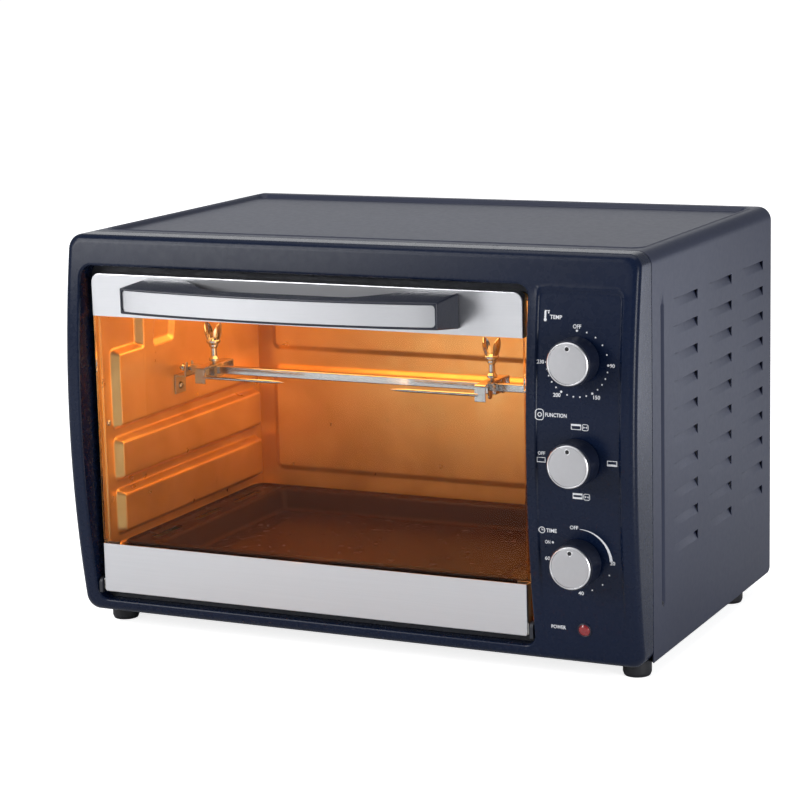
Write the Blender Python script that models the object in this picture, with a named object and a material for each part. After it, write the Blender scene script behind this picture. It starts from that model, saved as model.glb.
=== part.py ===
"""Countertop rotisserie oven, built as separate sub-parts in metres, +Z up, front towards -Y.

The object's frame has its origin on the surface the oven stands on, under the centre of its bounding box.
Every piece is first placed in the casing's frame: x from the casing's centre plane, y from the seam between
fascia and casing (negative in front of it), z from the casing's bottom. The empty "oven" carries them all.
"""

import math

import bmesh
import bpy
from mathutils import Matrix, Vector

MM = 0.001

# Casing and fascia
CASING_WIDTH = 530 * MM
CASING_HEIGHT = 338 * MM
CASING_DEPTH = 315 * MM
HALF_WIDTH = CASING_WIDTH / 2
SHEET = 1.0 * MM
GAP = 0.3 * MM
TOP_CORNER_RADIUS = 12 * MM
TOP_BORDER = 16 * MM
TOP_PRESSING = 3 * MM
PRESSING_SLOPE = 5 * MM
FASCIA_BULGE = 40 * MM
FASCIA_RADIUS = 870 * MM
FASCIA_CREST_Z = 175 * MM
FASCIA_FILLET = 6 * MM
FASCIA_WALL = 3 * MM
FASCIA_RIM_WALL = 4 * MM
BASE_PAN_Y = (2 * MM, CASING_DEPTH - 4.3 * MM)
REAR_COVER_Y = CASING_DEPTH - 3 * MM
REAR_COVER_LOW_Z = 1.5 * MM
FOOT_RADIUS = 12 * MM
FOOT_HEIGHT = 15 * MM
FOOT_X = 246 * MM
FOOT_Y = (13 * MM, 253 * MM)
SIDE_SCREW_Y = 24 * MM
SIDE_SCREW_Z = 43 * MM
SIDE_SCREW_RADIUS = 1.4 * MM

# Side louvers: three columns of ten slits on each side
LOUVER_COLUMNS_Y = (81 * MM, 171 * MM, 260 * MM)
LOUVER_TOP_Z = 291 * MM
LOUVER_PITCH = 22.85 * MM
LOUVER_ROWS = 10
LOUVER_LENGTH = 58 * MM
LOUVER_SLIT = 3 * MM

# Vents in the rear cover, as columns and rows of slots, and in the base pan under the controls
REAR_VENT_X = -200 * MM
REAR_VENT_Z = 250 * MM
REAR_VENT_PITCH = (52 * MM, 16 * MM)
REAR_VENT_SIZE = (36 * MM, 5 * MM)
REAR_VENT_COUNT = (8, 3)
BASE_VENT_X = 185 * MM
BASE_VENT_Y = (70 * MM, 210 * MM)
BASE_VENT_PITCH = 16 * MM
BASE_VENT_WIDTH = 5 * MM
BASE_VENT_COUNT = 4

# Door and its recess in the fascia
RECESS_X = (-250 * MM, 171 * MM)
RECESS_Z = (11 * MM, 311.5 * MM)
RECESS_RADIUS = 10 * MM
DOOR_X = (-243.5 * MM, 164 * MM)
DOOR_Z = (18.5 * MM, 304.5 * MM)
DOOR_FRONT_Y = -24 * MM
DOOR_BACK_Y = -14 * MM
DOOR_CENTRE_X = (DOOR_X[0] + DOOR_X[1]) / 2
RAIL_SHEET = 0.8 * MM
TOP_RAIL_Z = 267 * MM
BOTTOM_RAIL_Z = 62.5 * MM
GLASS_THICKNESS = 4 * MM
GLASS_FRONT_Y = -22.8 * MM
HINGE_Y = -19 * MM
HINGE_Z = 21.5 * MM
HINGE_PIN_RADIUS = 2 * MM
GLASS_LOW_Z = 31 * MM
RAIL_FLANGE = 24 * MM

# Handle: a bowed bar on two posts
HANDLE_HALF_LENGTH = 148 * MM
HANDLE_END_Y = -67 * MM
HANDLE_CREST_Y = -80 * MM
HANDLE_REAR_Y = -60 * MM
HANDLE_POST_WIDTH = 40 * MM
HANDLE_POST_FLARE = 42 * MM
HANDLE_ROOT_Z = (272 * MM, 301.6 * MM)
HANDLE_TIP_Z = (277.5 * MM, 299.5 * MM)
HANDLE_FRAME = 2.5 * MM
HANDLE_SCREW_Z = 286.5 * MM
HANDLE_SCREW_RADIUS = 1.6 * MM

# Cavity
CAVITY_X = (-243 * MM, 163.5 * MM)
CAVITY_Y = (-10.5 * MM, 272 * MM)
CAVITY_Z = (21 * MM, 306 * MM)
FRAME_Y = (-12 * MM, -10.8 * MM)
PANEL_RISE = 8 * MM
PANEL_SLOPE = 4 * MM
PANEL_FRONT_Y = 0.0
PANEL_REAR_Y = 264 * MM
RACK_GROOVES_Z = (60.5 * MM, 109.5 * MM, 156.5 * MM)
RACK_GROOVE_HALF = 3.5 * MM
HEATER_Y = (55 * MM, 205 * MM)
UPPER_HEATER_Z = 288 * MM
LOWER_HEATER_Z = 32.5 * MM
HEATER_RADIUS = 3.25 * MM
HEATER_OVERHANG = 12 * MM
OVEN_LAMP_Y = 185 * MM
OVEN_LAMP_Z = 255 * MM
OVEN_LAMP_HOLE = 15 * MM

# Controls on the right of the fascia
CONTROL_X = 216 * MM
CONTROL_Z = {"temperature": 254.5 * MM, "function": 172.5 * MM, "timer": 89.5 * MM}
CONTROL_HALF = {"temperature": (15 * MM, 14 * MM), "function": (17 * MM, 30 * MM),
                "timer": (24 * MM, 34 * MM)}
CONTROL_DEPTH = {"temperature": 15 * MM, "function": 20 * MM, "timer": 22 * MM}
CONTROL_BODY = {"temperature": "thermostat", "function": "function_switch", "timer": "timer"}
CONTROL_HOLE = 4.5 * MM
KNOB_BASE_RADIUS = 19 * MM
KNOB_RADIUS = 18.7 * MM
KNOB_HEIGHT = 21 * MM
KNOB_CAP_RADIUS = 17.6 * MM
KNOB_CAP_RISE = 1 * MM
SHAFT_RADIUS = 3 * MM
SHAFT_REACH = 13.6 * MM
POWER_LAMP_Z = 30.5 * MM
POWER_LAMP_RADIUS = 4.2 * MM

# Rotisserie
SPIT_Y = 105 * MM
SPIT_Z = 200 * MM
SPIT_HALF_SIDE = 3.5 * MM
SPIT_X = (-234 * MM, 160 * MM)
FORK_X = {"left": -197 * MM, "right": 80 * MM}
FORK_HALF_SPAN = 27 * MM
FORK_STRIP = 1.6 * MM
TINE_LENGTH = 84 * MM
TINE_RADIUS = 1.5 * MM
NECK_RADIUS = 2.6 * MM
SOCKET_RADIUS = 8 * MM
BRACKET_SCREW_Z = SPIT_Z - 17 * MM
BRACKET_SCREW_RADIUS = 1.4 * MM
MOTOR_RADIUS = 25 * MM

# Trays and cord inlet
TRAY_X = (-241.5 * MM, 162 * MM)
TRAY_Y = (4 * MM, 258 * MM)
TRAY_RIM_Z = 58.3 * MM
TRAY_DEPTH = 20 * MM
TRAY_LEDGE = 34 * MM
TRAY_RIM = 14 * MM
TRAY_SLOT_LENGTH = 48 * MM
TRAY_SLOT_WIDTH = 7 * MM
TRAY_SLOT_PITCH = 75 * MM
CRUMB_X = (-232 * MM, 152.5 * MM)
CRUMB_Y = (-2 * MM, 256 * MM)
CRUMB_DEPTH = 3 * MM
CRUMB_RIM = 3 * MM
GLAND_X = 220 * MM
GLAND_Z = 40 * MM
GLAND_RADIUS = 7 * MM
GLAND_BORE = 3.6 * MM

FRAME_OFFSET = Vector((0, (HANDLE_CREST_Y + CASING_DEPTH) / -2, FOOT_HEIGHT))

COLOURS = {
    "navy_paint": ((0.035, 0.04, 0.07), 0.42, 0.1),
    "dark_sheet": ((0.03, 0.032, 0.045), 0.5, 0.3),
    "brushed_steel": ((0.72, 0.72, 0.74), 0.3, 1.0),
    "chrome": ((0.8, 0.8, 0.82), 0.1, 1.0),
    "cavity_sheet": ((0.75, 0.5, 0.26), 0.35, 0.9),
    "tray_enamel": ((0.12, 0.05, 0.035), 0.3, 0.2),
    "glass": ((0.8, 0.85, 0.85), 0.05, 0.0),
    "black_plastic": ((0.02, 0.022, 0.035), 0.4, 0.0),
    "red_lens": ((0.6, 0.02, 0.02), 0.2, 0.0),
    "heater_steel": ((0.45, 0.43, 0.4), 0.4, 1.0),
    "zinc_steel": ((0.6, 0.6, 0.58), 0.45, 1.0),
    "rubber": ((0.015, 0.015, 0.02), 0.8, 0.0),
}


# ---------------------------------------------------------------- basic tools


def material(name):
    """Returns the named Principled material, made on first use."""
    found = bpy.data.materials.get(name)
    if found:
        return found
    colour, roughness, metallic = COLOURS[name]
    made = bpy.data.materials.new(name)
    made.use_nodes = True
    shader = made.node_tree.nodes["Principled BSDF"]
    shader.inputs["Base Color"].default_value = (*colour, 1.0)
    shader.inputs["Roughness"].default_value = roughness
    shader.inputs["Metallic"].default_value = metallic
    return made


def object_from(name, bm, material_name, smooth=False):
    """Turns a bmesh into a linked object with outward faces."""
    bmesh.ops.recalc_face_normals(bm, faces=bm.faces)
    mesh = bpy.data.meshes.new(name)
    bm.to_mesh(mesh)
    bm.free()
    mesh.materials.append(material(material_name))
    if smooth:
        mesh.shade_smooth()
        mesh.set_sharp_from_angle(angle=math.radians(35))
    made = bpy.data.objects.new(name, mesh)
    bpy.context.scene.collection.objects.link(made)
    return made


def box(name, low, high, material_name):
    bm = bmesh.new()
    bmesh.ops.create_cube(bm, size=1.0)
    centre = [(a + b) / 2 for a, b in zip(low, high)]
    bmesh.ops.scale(bm, vec=[b - a for a, b in zip(low, high)], verts=bm.verts)
    bmesh.ops.translate(bm, vec=centre, verts=bm.verts)
    return object_from(name, bm, material_name)


def boxes(name, corners, material_name):
    """One object of several boxes that stay clear of each other, for cutting."""
    bm = bmesh.new()
    for low, high in corners:
        made = bmesh.ops.create_cube(bm, size=1.0)["verts"]
        bmesh.ops.scale(bm, vec=[b - a for a, b in zip(low, high)], verts=made)
        bmesh.ops.translate(bm, vec=[(a + b) / 2 for a, b in zip(low, high)], verts=made)
    return object_from(name, bm, material_name)


def point_on(axis, t, a, b):
    """The point at t along an axis, whose other two coordinates are a and b, in order."""
    point = [a, b]
    point.insert("XYZ".index(axis), t)
    return point


def prism(name, outline, axis, low, high, material_name, smooth=False):
    """Extrudes a closed outline along an axis. Its points are the two other coordinates, in order."""
    bm = bmesh.new()
    first = [bm.verts.new(point_on(axis, low, a, b)) for a, b in outline]
    last = [bm.verts.new(point_on(axis, high, a, b)) for a, b in outline]
    bm.faces.new(first)
    bm.faces.new(last[::-1])
    for i in range(len(outline)):
        j = (i + 1) % len(outline)
        bm.faces.new((first[i], first[j], last[j], last[i]))
    return object_from(name, bm, material_name, smooth)


def turned(name, profile, material_name, segments=20, place=None):
    """Turns a profile of (distance along local Y, radius) about local Y, then moves it to its place."""
    bm = bmesh.new()
    rings = []
    for along, radius in profile:
        if radius == 0:
            rings.append([bm.verts.new((0, along, 0))])
            continue
        turns = [2 * math.pi * i / segments for i in range(segments)]
        rings.append([bm.verts.new((radius * math.sin(t), along, radius * math.cos(t))) for t in turns])
    for lower, upper in zip(rings, rings[1:]):
        for i in range(segments):
            j = (i + 1) % segments
            corners = [ring[k % len(ring)] for ring, k in ((lower, i), (lower, j), (upper, j), (upper, i))]
            bm.faces.new(list(dict.fromkeys(corners)))
    for ring in (rings[0], rings[-1]):
        if len(ring) > 1:
            bm.faces.new(ring)
    if place:
        bmesh.ops.transform(bm, matrix=place, verts=bm.verts)
    return object_from(name, bm, material_name, smooth=True)


def along_x(x, y, z):
    """A place whose local Y runs along +X from the given point."""
    return Matrix.Translation((x, y, z)) @ Matrix.Rotation(math.radians(-90), 4, "Z")


def along_y(x, y, z):
    """A place whose local Y runs along +Y from the given point."""
    return Matrix.Translation((x, y, z))


def along_z(x, y, z):
    """A place whose local Y runs along +Z from the given point."""
    return Matrix.Translation((x, y, z)) @ Matrix.Rotation(math.radians(90), 4, "X")


def rod(name, radius, start, length, place_along, material_name, segments=16):
    return turned(name, [(0, radius), (length, radius)], material_name, segments, place_along(*start))


def combine(operation, target, tools):
    for tool in tools:
        change = target.modifiers.new(operation.lower(), "BOOLEAN")
        change.operation = operation
        change.solver = "EXACT"
        change.object = tool
        tool.hide_render = True
        tool.display_type = "WIRE"
        tool.parent = target.parent
    return target


def cut(target, *tools):
    return combine("DIFFERENCE", target, tools)


def unite(target, *tools):
    return combine("UNION", target, tools)


def set_origin(made, point):
    """Puts an object's origin at a point without moving its surface."""
    made.data.transform(Matrix.Translation(-Vector(point)))
    made.location = point
    return made


def rounded_rectangle(x_range, z_range, radius, steps=4):
    """Outline of a rectangle with four round corners, anticlockwise from the lower right."""
    outline = []
    corners = ((x_range[1], z_range[0], -90), (x_range[1], z_range[1], 0), (x_range[0], z_range[1], 90),
               (x_range[0], z_range[0], 180))
    for x, z, start in corners:
        centre_x = x - math.copysign(radius, x - sum(x_range) / 2)
        centre_z = z - math.copysign(radius, z - sum(z_range) / 2)
        for k in range(steps + 1):
            angle = math.radians(start + 90 * k / steps)
            outline.append((centre_x + radius * math.cos(angle), centre_z + radius * math.sin(angle)))
    return outline


# ---------------------------------------------------------------- casing


def fascia_y(z):
    """The front surface of the fascia, an arc from bottom to top."""
    centre_y = FASCIA_RADIUS - FASCIA_BULGE
    return centre_y - math.sqrt(FASCIA_RADIUS**2 - (z - FASCIA_CREST_Z) ** 2)


def fascia_outline(inset, radius, rows=12, corner_steps=5):
    """One side of the fascia's outline from bottom to top, as (half width, z) rows."""
    side = []
    half = HALF_WIDTH - inset
    low, high = inset, CASING_HEIGHT - inset
    for k in range(corner_steps + 1):
        angle = math.radians(90 * k / corner_steps)
        side.append((half - radius + radius * math.sin(angle), low + radius - radius * math.cos(angle)))
    for k in range(1, rows):
        side.append((half, low + radius + (high - low - 2 * radius) * k / rows))
    for k in range(corner_steps + 1):
        angle = math.radians(90 * k / corner_steps)
        side.append((half - radius + radius * math.cos(angle), high - radius + radius * math.sin(angle)))
    return side


def fascia_solid(name, inset, corner, fillet, back_y):
    """The bulged block: flat back, round corners, round front edge and a front bent about a level axis."""
    rings = [(inset, back_y, False)]
    for k in range(4):
        angle = math.radians(90 * k / 3)
        rings.append((inset + fillet * (1 - math.cos(angle)), inset + fillet * (1 - math.sin(angle)), True))
    bm = bmesh.new()
    loops = []
    for ring_inset, ring_y, bent in rings:
        side = fascia_outline(ring_inset, max(corner - (ring_inset - inset), 1 * MM))
        points = [(x, z) for x, z in side] + [(-x, z) for x, z in reversed(side)]
        loops.append([bm.verts.new((x, fascia_y(z) + ring_y if bent else ring_y, z)) for x, z in points])
    count = len(loops[0])
    for near, far in zip(loops, loops[1:]):
        for i in range(count):
            j = (i + 1) % count
            bm.faces.new((near[i], near[j], far[j], far[i]))
    for loop in (loops[0], loops[-1]):
        for i in range(count // 2 - 1):
            bm.faces.new((loop[i], loop[i + 1], loop[count - 2 - i], loop[count - 1 - i]))
    return object_from(name, bm, "navy_paint", smooth=True)


def front_fascia():
    """The bowed front moulding: a solid block with the door's recess and two hollows behind its face."""
    ahead, behind = -60 * MM, 10 * MM
    bay_fillet, bay_back_y = 3 * MM, 5 * MM
    fascia = fascia_solid("front_fascia", 0.0, TOP_CORNER_RADIUS, FASCIA_FILLET, 0.0)
    opening = prism("fascia_opening", rounded_rectangle(RECESS_X, RECESS_Z, RECESS_RADIUS), "Y",
                    ahead, behind, "navy_paint")
    bay = fascia_solid("fascia_bay", FASCIA_WALL, TOP_CORNER_RADIUS - FASCIA_WALL, bay_fillet, bay_back_y)
    keep = box("fascia_bay_limit", (RECESS_X[1] + FASCIA_WALL, ahead, 0), (HALF_WIDTH, behind, CASING_HEIGHT),
               "navy_paint")
    combine("INTERSECT", bay, [keep])
    pocket = box("fascia_top_pocket", (RECESS_X[0], -18 * MM, RECESS_Z[1] + FASCIA_WALL),
                 (RECESS_X[1], bay_back_y, CASING_HEIGHT - FASCIA_RIM_WALL), "navy_paint")
    holes = []
    for name, z in CONTROL_Z.items():
        start = (CONTROL_X, ahead, z)
        holes.append(rod(f"{name}_hole", CONTROL_HOLE, start, behind - ahead, along_y, "navy_paint"))
    lamp_hole = rod("power_lamp_hole", POWER_LAMP_RADIUS + GAP, (0, -15 * MM, 0), 30 * MM, along_y,
                    "navy_paint")
    lamp_hole.matrix_world = lamp_place()
    return cut(fascia, opening, bay, pocket, *holes, lamp_hole)


def lamp_place():
    """Where the power lamp meets the fascia: it sits square on the bent face, along local -Y."""
    tilt = math.asin((POWER_LAMP_Z - FASCIA_CREST_Z) / FASCIA_RADIUS)
    place = Matrix.Translation((CONTROL_X, fascia_y(POWER_LAMP_Z), POWER_LAMP_Z))
    return place @ Matrix.Rotation(-tilt, 4, "X")


def control_seat_y(z):
    """The foremost point of the bent face under a knob, whose base is upright and so has to clear it."""
    nearest = min(max(FASCIA_CREST_Z, z - KNOB_BASE_RADIUS), z + KNOB_BASE_RADIUS)
    return fascia_y(nearest)


def casing_section(drop, inset):
    """Half of the wrap's cross-section, from the bottom of the side to the middle of the top."""
    radius = TOP_CORNER_RADIUS - inset
    half, top = HALF_WIDTH - inset, CASING_HEIGHT - inset
    points = [(half, 0.0), (half, top - radius)]
    for k in range(1, 6):
        angle = math.radians(90 * k / 6)
        points.append((half - radius + radius * math.cos(angle), top - radius + radius * math.sin(angle)))
    points += [(half - radius, top), (HALF_WIDTH - TOP_BORDER, top)]
    points += [(HALF_WIDTH - TOP_BORDER - PRESSING_SLOPE, top - drop)]
    return points


def wrap_casing():
    stations = [(GAP, 0.0), (TOP_BORDER, 0.0), (TOP_BORDER + PRESSING_SLOPE, TOP_PRESSING),
                (CASING_DEPTH - TOP_BORDER - PRESSING_SLOPE, TOP_PRESSING), (CASING_DEPTH - TOP_BORDER, 0.0),
                (CASING_DEPTH, 0.0)]
    bm = bmesh.new()
    loops = []
    for y, drop in stations:
        outer = casing_section(drop, 0.0)
        inner = casing_section(drop, SHEET)
        ring = outer + [(-x, z) for x, z in reversed(outer)] + [(-x, z) for x, z in inner]
        ring += [(x, z) for x, z in reversed(inner)]
        loops.append([bm.verts.new((x, y, z)) for x, z in ring])
    count = len(loops[0])
    half = count // 2
    for near, far in zip(loops, loops[1:]):
        for i in range(count):
            j = (i + 1) % count
            bm.faces.new((near[i], near[j], far[j], far[i]))
    for loop in (loops[0], loops[-1]):
        for i in range(half - 1):
            bm.faces.new((loop[i], loop[i + 1], loop[count - 2 - i], loop[count - 1 - i]))
    casing = object_from("wrap_casing", bm, "navy_paint", smooth=True)
    slits = []
    through = 3 * MM
    for side in (-1, 1):
        for centre_y in LOUVER_COLUMNS_Y:
            for row in range(LOUVER_ROWS):
                centre = Vector((side * HALF_WIDTH, centre_y, LOUVER_TOP_Z - row * LOUVER_PITCH))
                half = Vector((through, LOUVER_LENGTH / 2, LOUVER_SLIT / 2))
                slits.append((centre - half, centre + half))
    return cut(casing, boxes("louver_slits", slits, "navy_paint"))


def rear_cover():
    inside = HALF_WIDTH - SHEET - GAP
    outline = rounded_rectangle((-inside, inside), (REAR_COVER_LOW_Z, CASING_HEIGHT - SHEET - GAP),
                                TOP_CORNER_RADIUS - SHEET - GAP)
    cover = prism("rear_cover", outline, "Y", REAR_COVER_Y - SHEET, REAR_COVER_Y, "dark_sheet")
    front, back = REAR_COVER_Y - 5 * MM, REAR_COVER_Y + 5 * MM
    vents = []
    for column in range(REAR_VENT_COUNT[0]):
        for row in range(REAR_VENT_COUNT[1]):
            x = REAR_VENT_X + REAR_VENT_PITCH[0] * column
            z = REAR_VENT_Z + REAR_VENT_PITCH[1] * row
            vents.append(((x, front, z), (x + REAR_VENT_SIZE[0], back, z + REAR_VENT_SIZE[1])))
    gland = rod("gland_hole", GLAND_RADIUS + 0.5 * MM, (GLAND_X, front, GLAND_Z), back - front, along_y,
                "dark_sheet")
    return cut(cover, boxes("rear_vents", vents, "dark_sheet"), gland)


def base_pan():
    inside = HALF_WIDTH - SHEET - GAP
    pan = box("base_pan", (-inside, BASE_PAN_Y[0], 0), (inside, BASE_PAN_Y[1], SHEET), "dark_sheet")
    vents = []
    for column in range(BASE_VENT_COUNT):
        x = BASE_VENT_X + BASE_VENT_PITCH * column
        vents.append(((x, BASE_VENT_Y[0], -5 * MM), (x + BASE_VENT_WIDTH, BASE_VENT_Y[1], 5 * MM)))
    return cut(pan, boxes("base_vents", vents, "dark_sheet"))


def feet():
    chamfer = 1.5 * MM
    profile = [(-FOOT_HEIGHT, FOOT_RADIUS - chamfer), (chamfer - FOOT_HEIGHT, FOOT_RADIUS),
               (-GAP, FOOT_RADIUS)]
    for depth, y in zip(("front", "rear"), FOOT_Y):
        for side, x in (("left", -FOOT_X), ("right", FOOT_X)):
            turned(f"foot_{depth}_{side}", profile, "black_plastic", 24, along_z(x, y, 0))


def side_screws():
    """The pan-head screw low on each side that holds the wrap to the chassis."""
    seat = SHEET + GAP
    profile = [(-7 * MM, SIDE_SCREW_RADIUS), (seat, SIDE_SCREW_RADIUS), (seat, 3.4 * MM),
               (seat + 1.5 * MM, 2.6 * MM), (seat + 2 * MM, 1.2 * MM)]
    for side, name in ((-1, "left"), (1, "right")):
        place = Matrix.Translation((side * (HALF_WIDTH - SHEET), SIDE_SCREW_Y, SIDE_SCREW_Z))
        place = place @ Matrix.Rotation(math.radians(-90 * side), 4, "Z")
        turned(f"side_screw_{name}", profile, "zinc_steel", 12, place)
        hole = rod(f"side_screw_{name}_hole", SIDE_SCREW_RADIUS + GAP, (0, -10 * MM, 0), 20 * MM, along_y,
                   "navy_paint")
        hole.matrix_world = place
        cut(bpy.data.objects["wrap_casing"], hole)


# ---------------------------------------------------------------- cavity


def pressed_wall(name, base_x, inward):
    """A side wall: sheet with raised panels between level rack grooves, a pocket and a low front corner."""
    step_y = 40 * MM
    step_z = 231 * MM
    pocket_y = (62 * MM, 104 * MM)
    pocket_z = (226 * MM, 252 * MM)
    top_z = 300 * MM
    bottom_z = 27 * MM
    ys = [CAVITY_Y[0], PANEL_FRONT_Y, PANEL_FRONT_Y + PANEL_SLOPE, step_y, step_y + PANEL_SLOPE,
          pocket_y[0], pocket_y[0] + PANEL_SLOPE, pocket_y[1] - PANEL_SLOPE, pocket_y[1],
          PANEL_REAR_Y - PANEL_SLOPE, PANEL_REAR_Y, CAVITY_Y[1] - GAP]
    zs = [CAVITY_Z[0] + GAP, bottom_z, bottom_z + PANEL_SLOPE]
    for groove in RACK_GROOVES_Z:
        zs += [groove - RACK_GROOVE_HALF - PANEL_SLOPE, groove - RACK_GROOVE_HALF, groove + RACK_GROOVE_HALF,
               groove + RACK_GROOVE_HALF + PANEL_SLOPE]
    zs += [pocket_z[0], pocket_z[0] + PANEL_SLOPE, step_z - PANEL_SLOPE, step_z, pocket_z[1] - PANEL_SLOPE,
           pocket_z[1], top_z - PANEL_SLOPE, top_z, CAVITY_Z[1] - GAP]
    zs = sorted(set(zs))

    def rise(y, z):
        if not (PANEL_FRONT_Y + PANEL_SLOPE <= y <= PANEL_REAR_Y - PANEL_SLOPE):
            return 0.0
        if not (bottom_z + PANEL_SLOPE <= z <= top_z - PANEL_SLOPE):
            return 0.0
        if any(abs(z - groove) <= RACK_GROOVE_HALF + 0.01 * MM for groove in RACK_GROOVES_Z):
            return 0.0
        if y < step_y + PANEL_SLOPE and z > step_z - PANEL_SLOPE:
            return 0.0
        in_pocket_y = pocket_y[0] + PANEL_SLOPE <= y <= pocket_y[1] - PANEL_SLOPE
        in_pocket_z = pocket_z[0] + PANEL_SLOPE <= z <= pocket_z[1] - PANEL_SLOPE
        return PANEL_RISE / 2 if in_pocket_y and in_pocket_z else PANEL_RISE

    bm = bmesh.new()
    sides = []
    for back in (0.0, SHEET):
        sides.append([[bm.verts.new((base_x + inward * (rise(y, z) - back), y, z)) for z in zs] for y in ys])
    for grid in sides:
        for i in range(len(ys) - 1):
            for j in range(len(zs) - 1):
                bm.faces.new((grid[i][j], grid[i + 1][j], grid[i + 1][j + 1], grid[i][j + 1]))
    rim = [(i, 0) for i in range(len(ys))] + [(len(ys) - 1, j) for j in range(1, len(zs))]
    rim += [(i, len(zs) - 1) for i in range(len(ys) - 2, -1, -1)]
    rim += [(0, j) for j in range(len(zs) - 2, 0, -1)]
    for k in range(len(rim)):
        (i, j), (m, n) = rim[k], rim[(k + 1) % len(rim)]
        bm.faces.new((sides[0][i][j], sides[0][m][n], sides[1][m][n], sides[1][i][j]))
    bmesh.ops.triangulate(bm, faces=bm.faces)
    return object_from(name, bm, "cavity_sheet")


def heater_places():
    for level, z in (("upper", UPPER_HEATER_Z), ("lower", LOWER_HEATER_Z)):
        for depth, y in zip(("front", "rear"), HEATER_Y):
            yield f"{level}_heater_{depth}", y, z


def cavity_walls():
    """Pressed side walls, with holes for what passes through them, and a plain rear wall, roof and floor."""
    walls = {"left": pressed_wall("cavity_left_wall", CAVITY_X[0], 1),
             "right": pressed_wall("cavity_right_wall", CAVITY_X[1], -1)}

    def drill(side, hole, radius, y, z, segments=12):
        start = (CAVITY_X[side == "right"] - 20 * MM, y, z)
        drilled = rod(f"{hole}_{side}_hole", radius, start, 40 * MM, along_x, "cavity_sheet", segments)
        cut(walls[side], drilled)

    for side in walls:
        for name, y, z in heater_places():
            drill(side, name, HEATER_RADIUS + GAP, y, z)
    drill("right", "socket", SOCKET_RADIUS + 0.5 * MM, SPIT_Y, SPIT_Z, 20)
    drill("right", "oven_lamp", OVEN_LAMP_HOLE, OVEN_LAMP_Y, OVEN_LAMP_Z, 24)
    drill("left", "bracket_screw", BRACKET_SCREW_RADIUS + GAP, SPIT_Y, BRACKET_SCREW_Z)
    outside = (CAVITY_X[0] - SHEET, CAVITY_X[1] + SHEET)
    box("cavity_rear_wall", (outside[0], CAVITY_Y[1], CAVITY_Z[0] + GAP),
        (outside[1], CAVITY_Y[1] + SHEET, CAVITY_Z[1] - GAP), "cavity_sheet")
    box("cavity_roof", (outside[0], CAVITY_Y[0], CAVITY_Z[1]),
        (outside[1], CAVITY_Y[1] + SHEET, CAVITY_Z[1] + SHEET), "cavity_sheet")
    box("cavity_floor", (outside[0], CAVITY_Y[0], CAVITY_Z[0] - SHEET),
        (outside[1], CAVITY_Y[1] + SHEET, CAVITY_Z[0]), "cavity_sheet")


def front_frame():
    """The dark flanged frame behind the door, which closes the gap between fascia and cavity."""
    outer = rounded_rectangle((RECESS_X[0] + GAP, RECESS_X[1] - GAP), (RECESS_Z[0] + GAP, RECESS_Z[1] - GAP),
                              RECESS_RADIUS - GAP)
    frame = prism("front_frame", outer, "Y", *FRAME_Y, "dark_sheet")
    opening = prism("front_frame_opening", rounded_rectangle(CAVITY_X, CAVITY_Z, 4 * MM), "Y",
                    -30 * MM, 10 * MM, "dark_sheet")
    return cut(frame, opening)


def heaters():
    """Sheathed heating rods: each ends in terminal pins behind the walls and has collars inside them."""
    collar, collar_width, pin, pin_length = 5.2 * MM, 2 * MM, 1.5 * MM, 7 * MM
    start = CAVITY_X[0] - HEATER_OVERHANG
    length = CAVITY_X[1] + HEATER_OVERHANG - start
    left = HEATER_OVERHANG + PANEL_RISE + GAP
    right = length - left
    profile = [(-pin_length, pin), (0, pin), (0, HEATER_RADIUS), (left, HEATER_RADIUS), (left, collar),
               (left + collar_width, collar), (left + collar_width, HEATER_RADIUS),
               (right - collar_width, HEATER_RADIUS), (right - collar_width, collar), (right, collar),
               (right, HEATER_RADIUS), (length, HEATER_RADIUS), (length, pin), (length + pin_length, pin)]
    for name, y, z in heater_places():
        turned(name, profile, "heater_steel", 12, along_x(start, y, z))


def oven_lamp():
    """Lamp behind the right wall, with a glass cover that looks into the cavity."""
    base = along_x(CAVITY_X[1] - PANEL_RISE, OVEN_LAMP_Y, OVEN_LAMP_Z)
    cover = [(-7 * MM, 0), (-6 * MM, 7 * MM), (-3.5 * MM, 11.5 * MM), (-GAP, 13 * MM), (1 * MM, 13 * MM),
             (1 * MM, 11.5 * MM), (-2.5 * MM, 10.3 * MM), (-4.7 * MM, 6.3 * MM), (-5.6 * MM, 0)]
    turned("lamp_cover", cover, "glass", 24, base)
    lamp = [(3 * MM, 0), (3.6 * MM, 5 * MM), (8 * MM, 9 * MM), (16 * MM, 9.5 * MM), (22 * MM, 7 * MM),
            (24 * MM, 10 * MM), (44 * MM, 10 * MM), (44 * MM, 4 * MM), (52 * MM, 4 * MM)]
    turned("oven_lamp", lamp, "zinc_steel", 20, base)


# ---------------------------------------------------------------- door


def rail(name, near_z, far_z, material_name):
    """A folded steel channel along the door: face, web along the door's edge, and a short flange behind."""
    t = RAIL_SHEET if far_z > near_z else -RAIL_SHEET
    flange_z = far_z - math.copysign(RAIL_FLANGE, far_z - near_z)
    outline = [(DOOR_FRONT_Y, near_z), (DOOR_FRONT_Y, far_z), (DOOR_BACK_Y, far_z), (DOOR_BACK_Y, flange_z),
               (DOOR_BACK_Y - RAIL_SHEET, flange_z), (DOOR_BACK_Y - RAIL_SHEET, far_z - t),
               (DOOR_FRONT_Y + RAIL_SHEET, far_z - t), (DOOR_FRONT_Y + RAIL_SHEET, near_z)]
    return prism(name, outline, "X", *DOOR_X, material_name)


def handle_bow(x):
    """Front of the handle at x: an arc from both ends to the crest."""
    sagitta = HANDLE_END_Y - HANDLE_CREST_Y
    radius = (HANDLE_HALF_LENGTH**2 + sagitta**2) / (2 * sagitta)
    return HANDLE_CREST_Y + radius - math.sqrt(radius**2 - (x - DOOR_CENTRE_X) ** 2)


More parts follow.
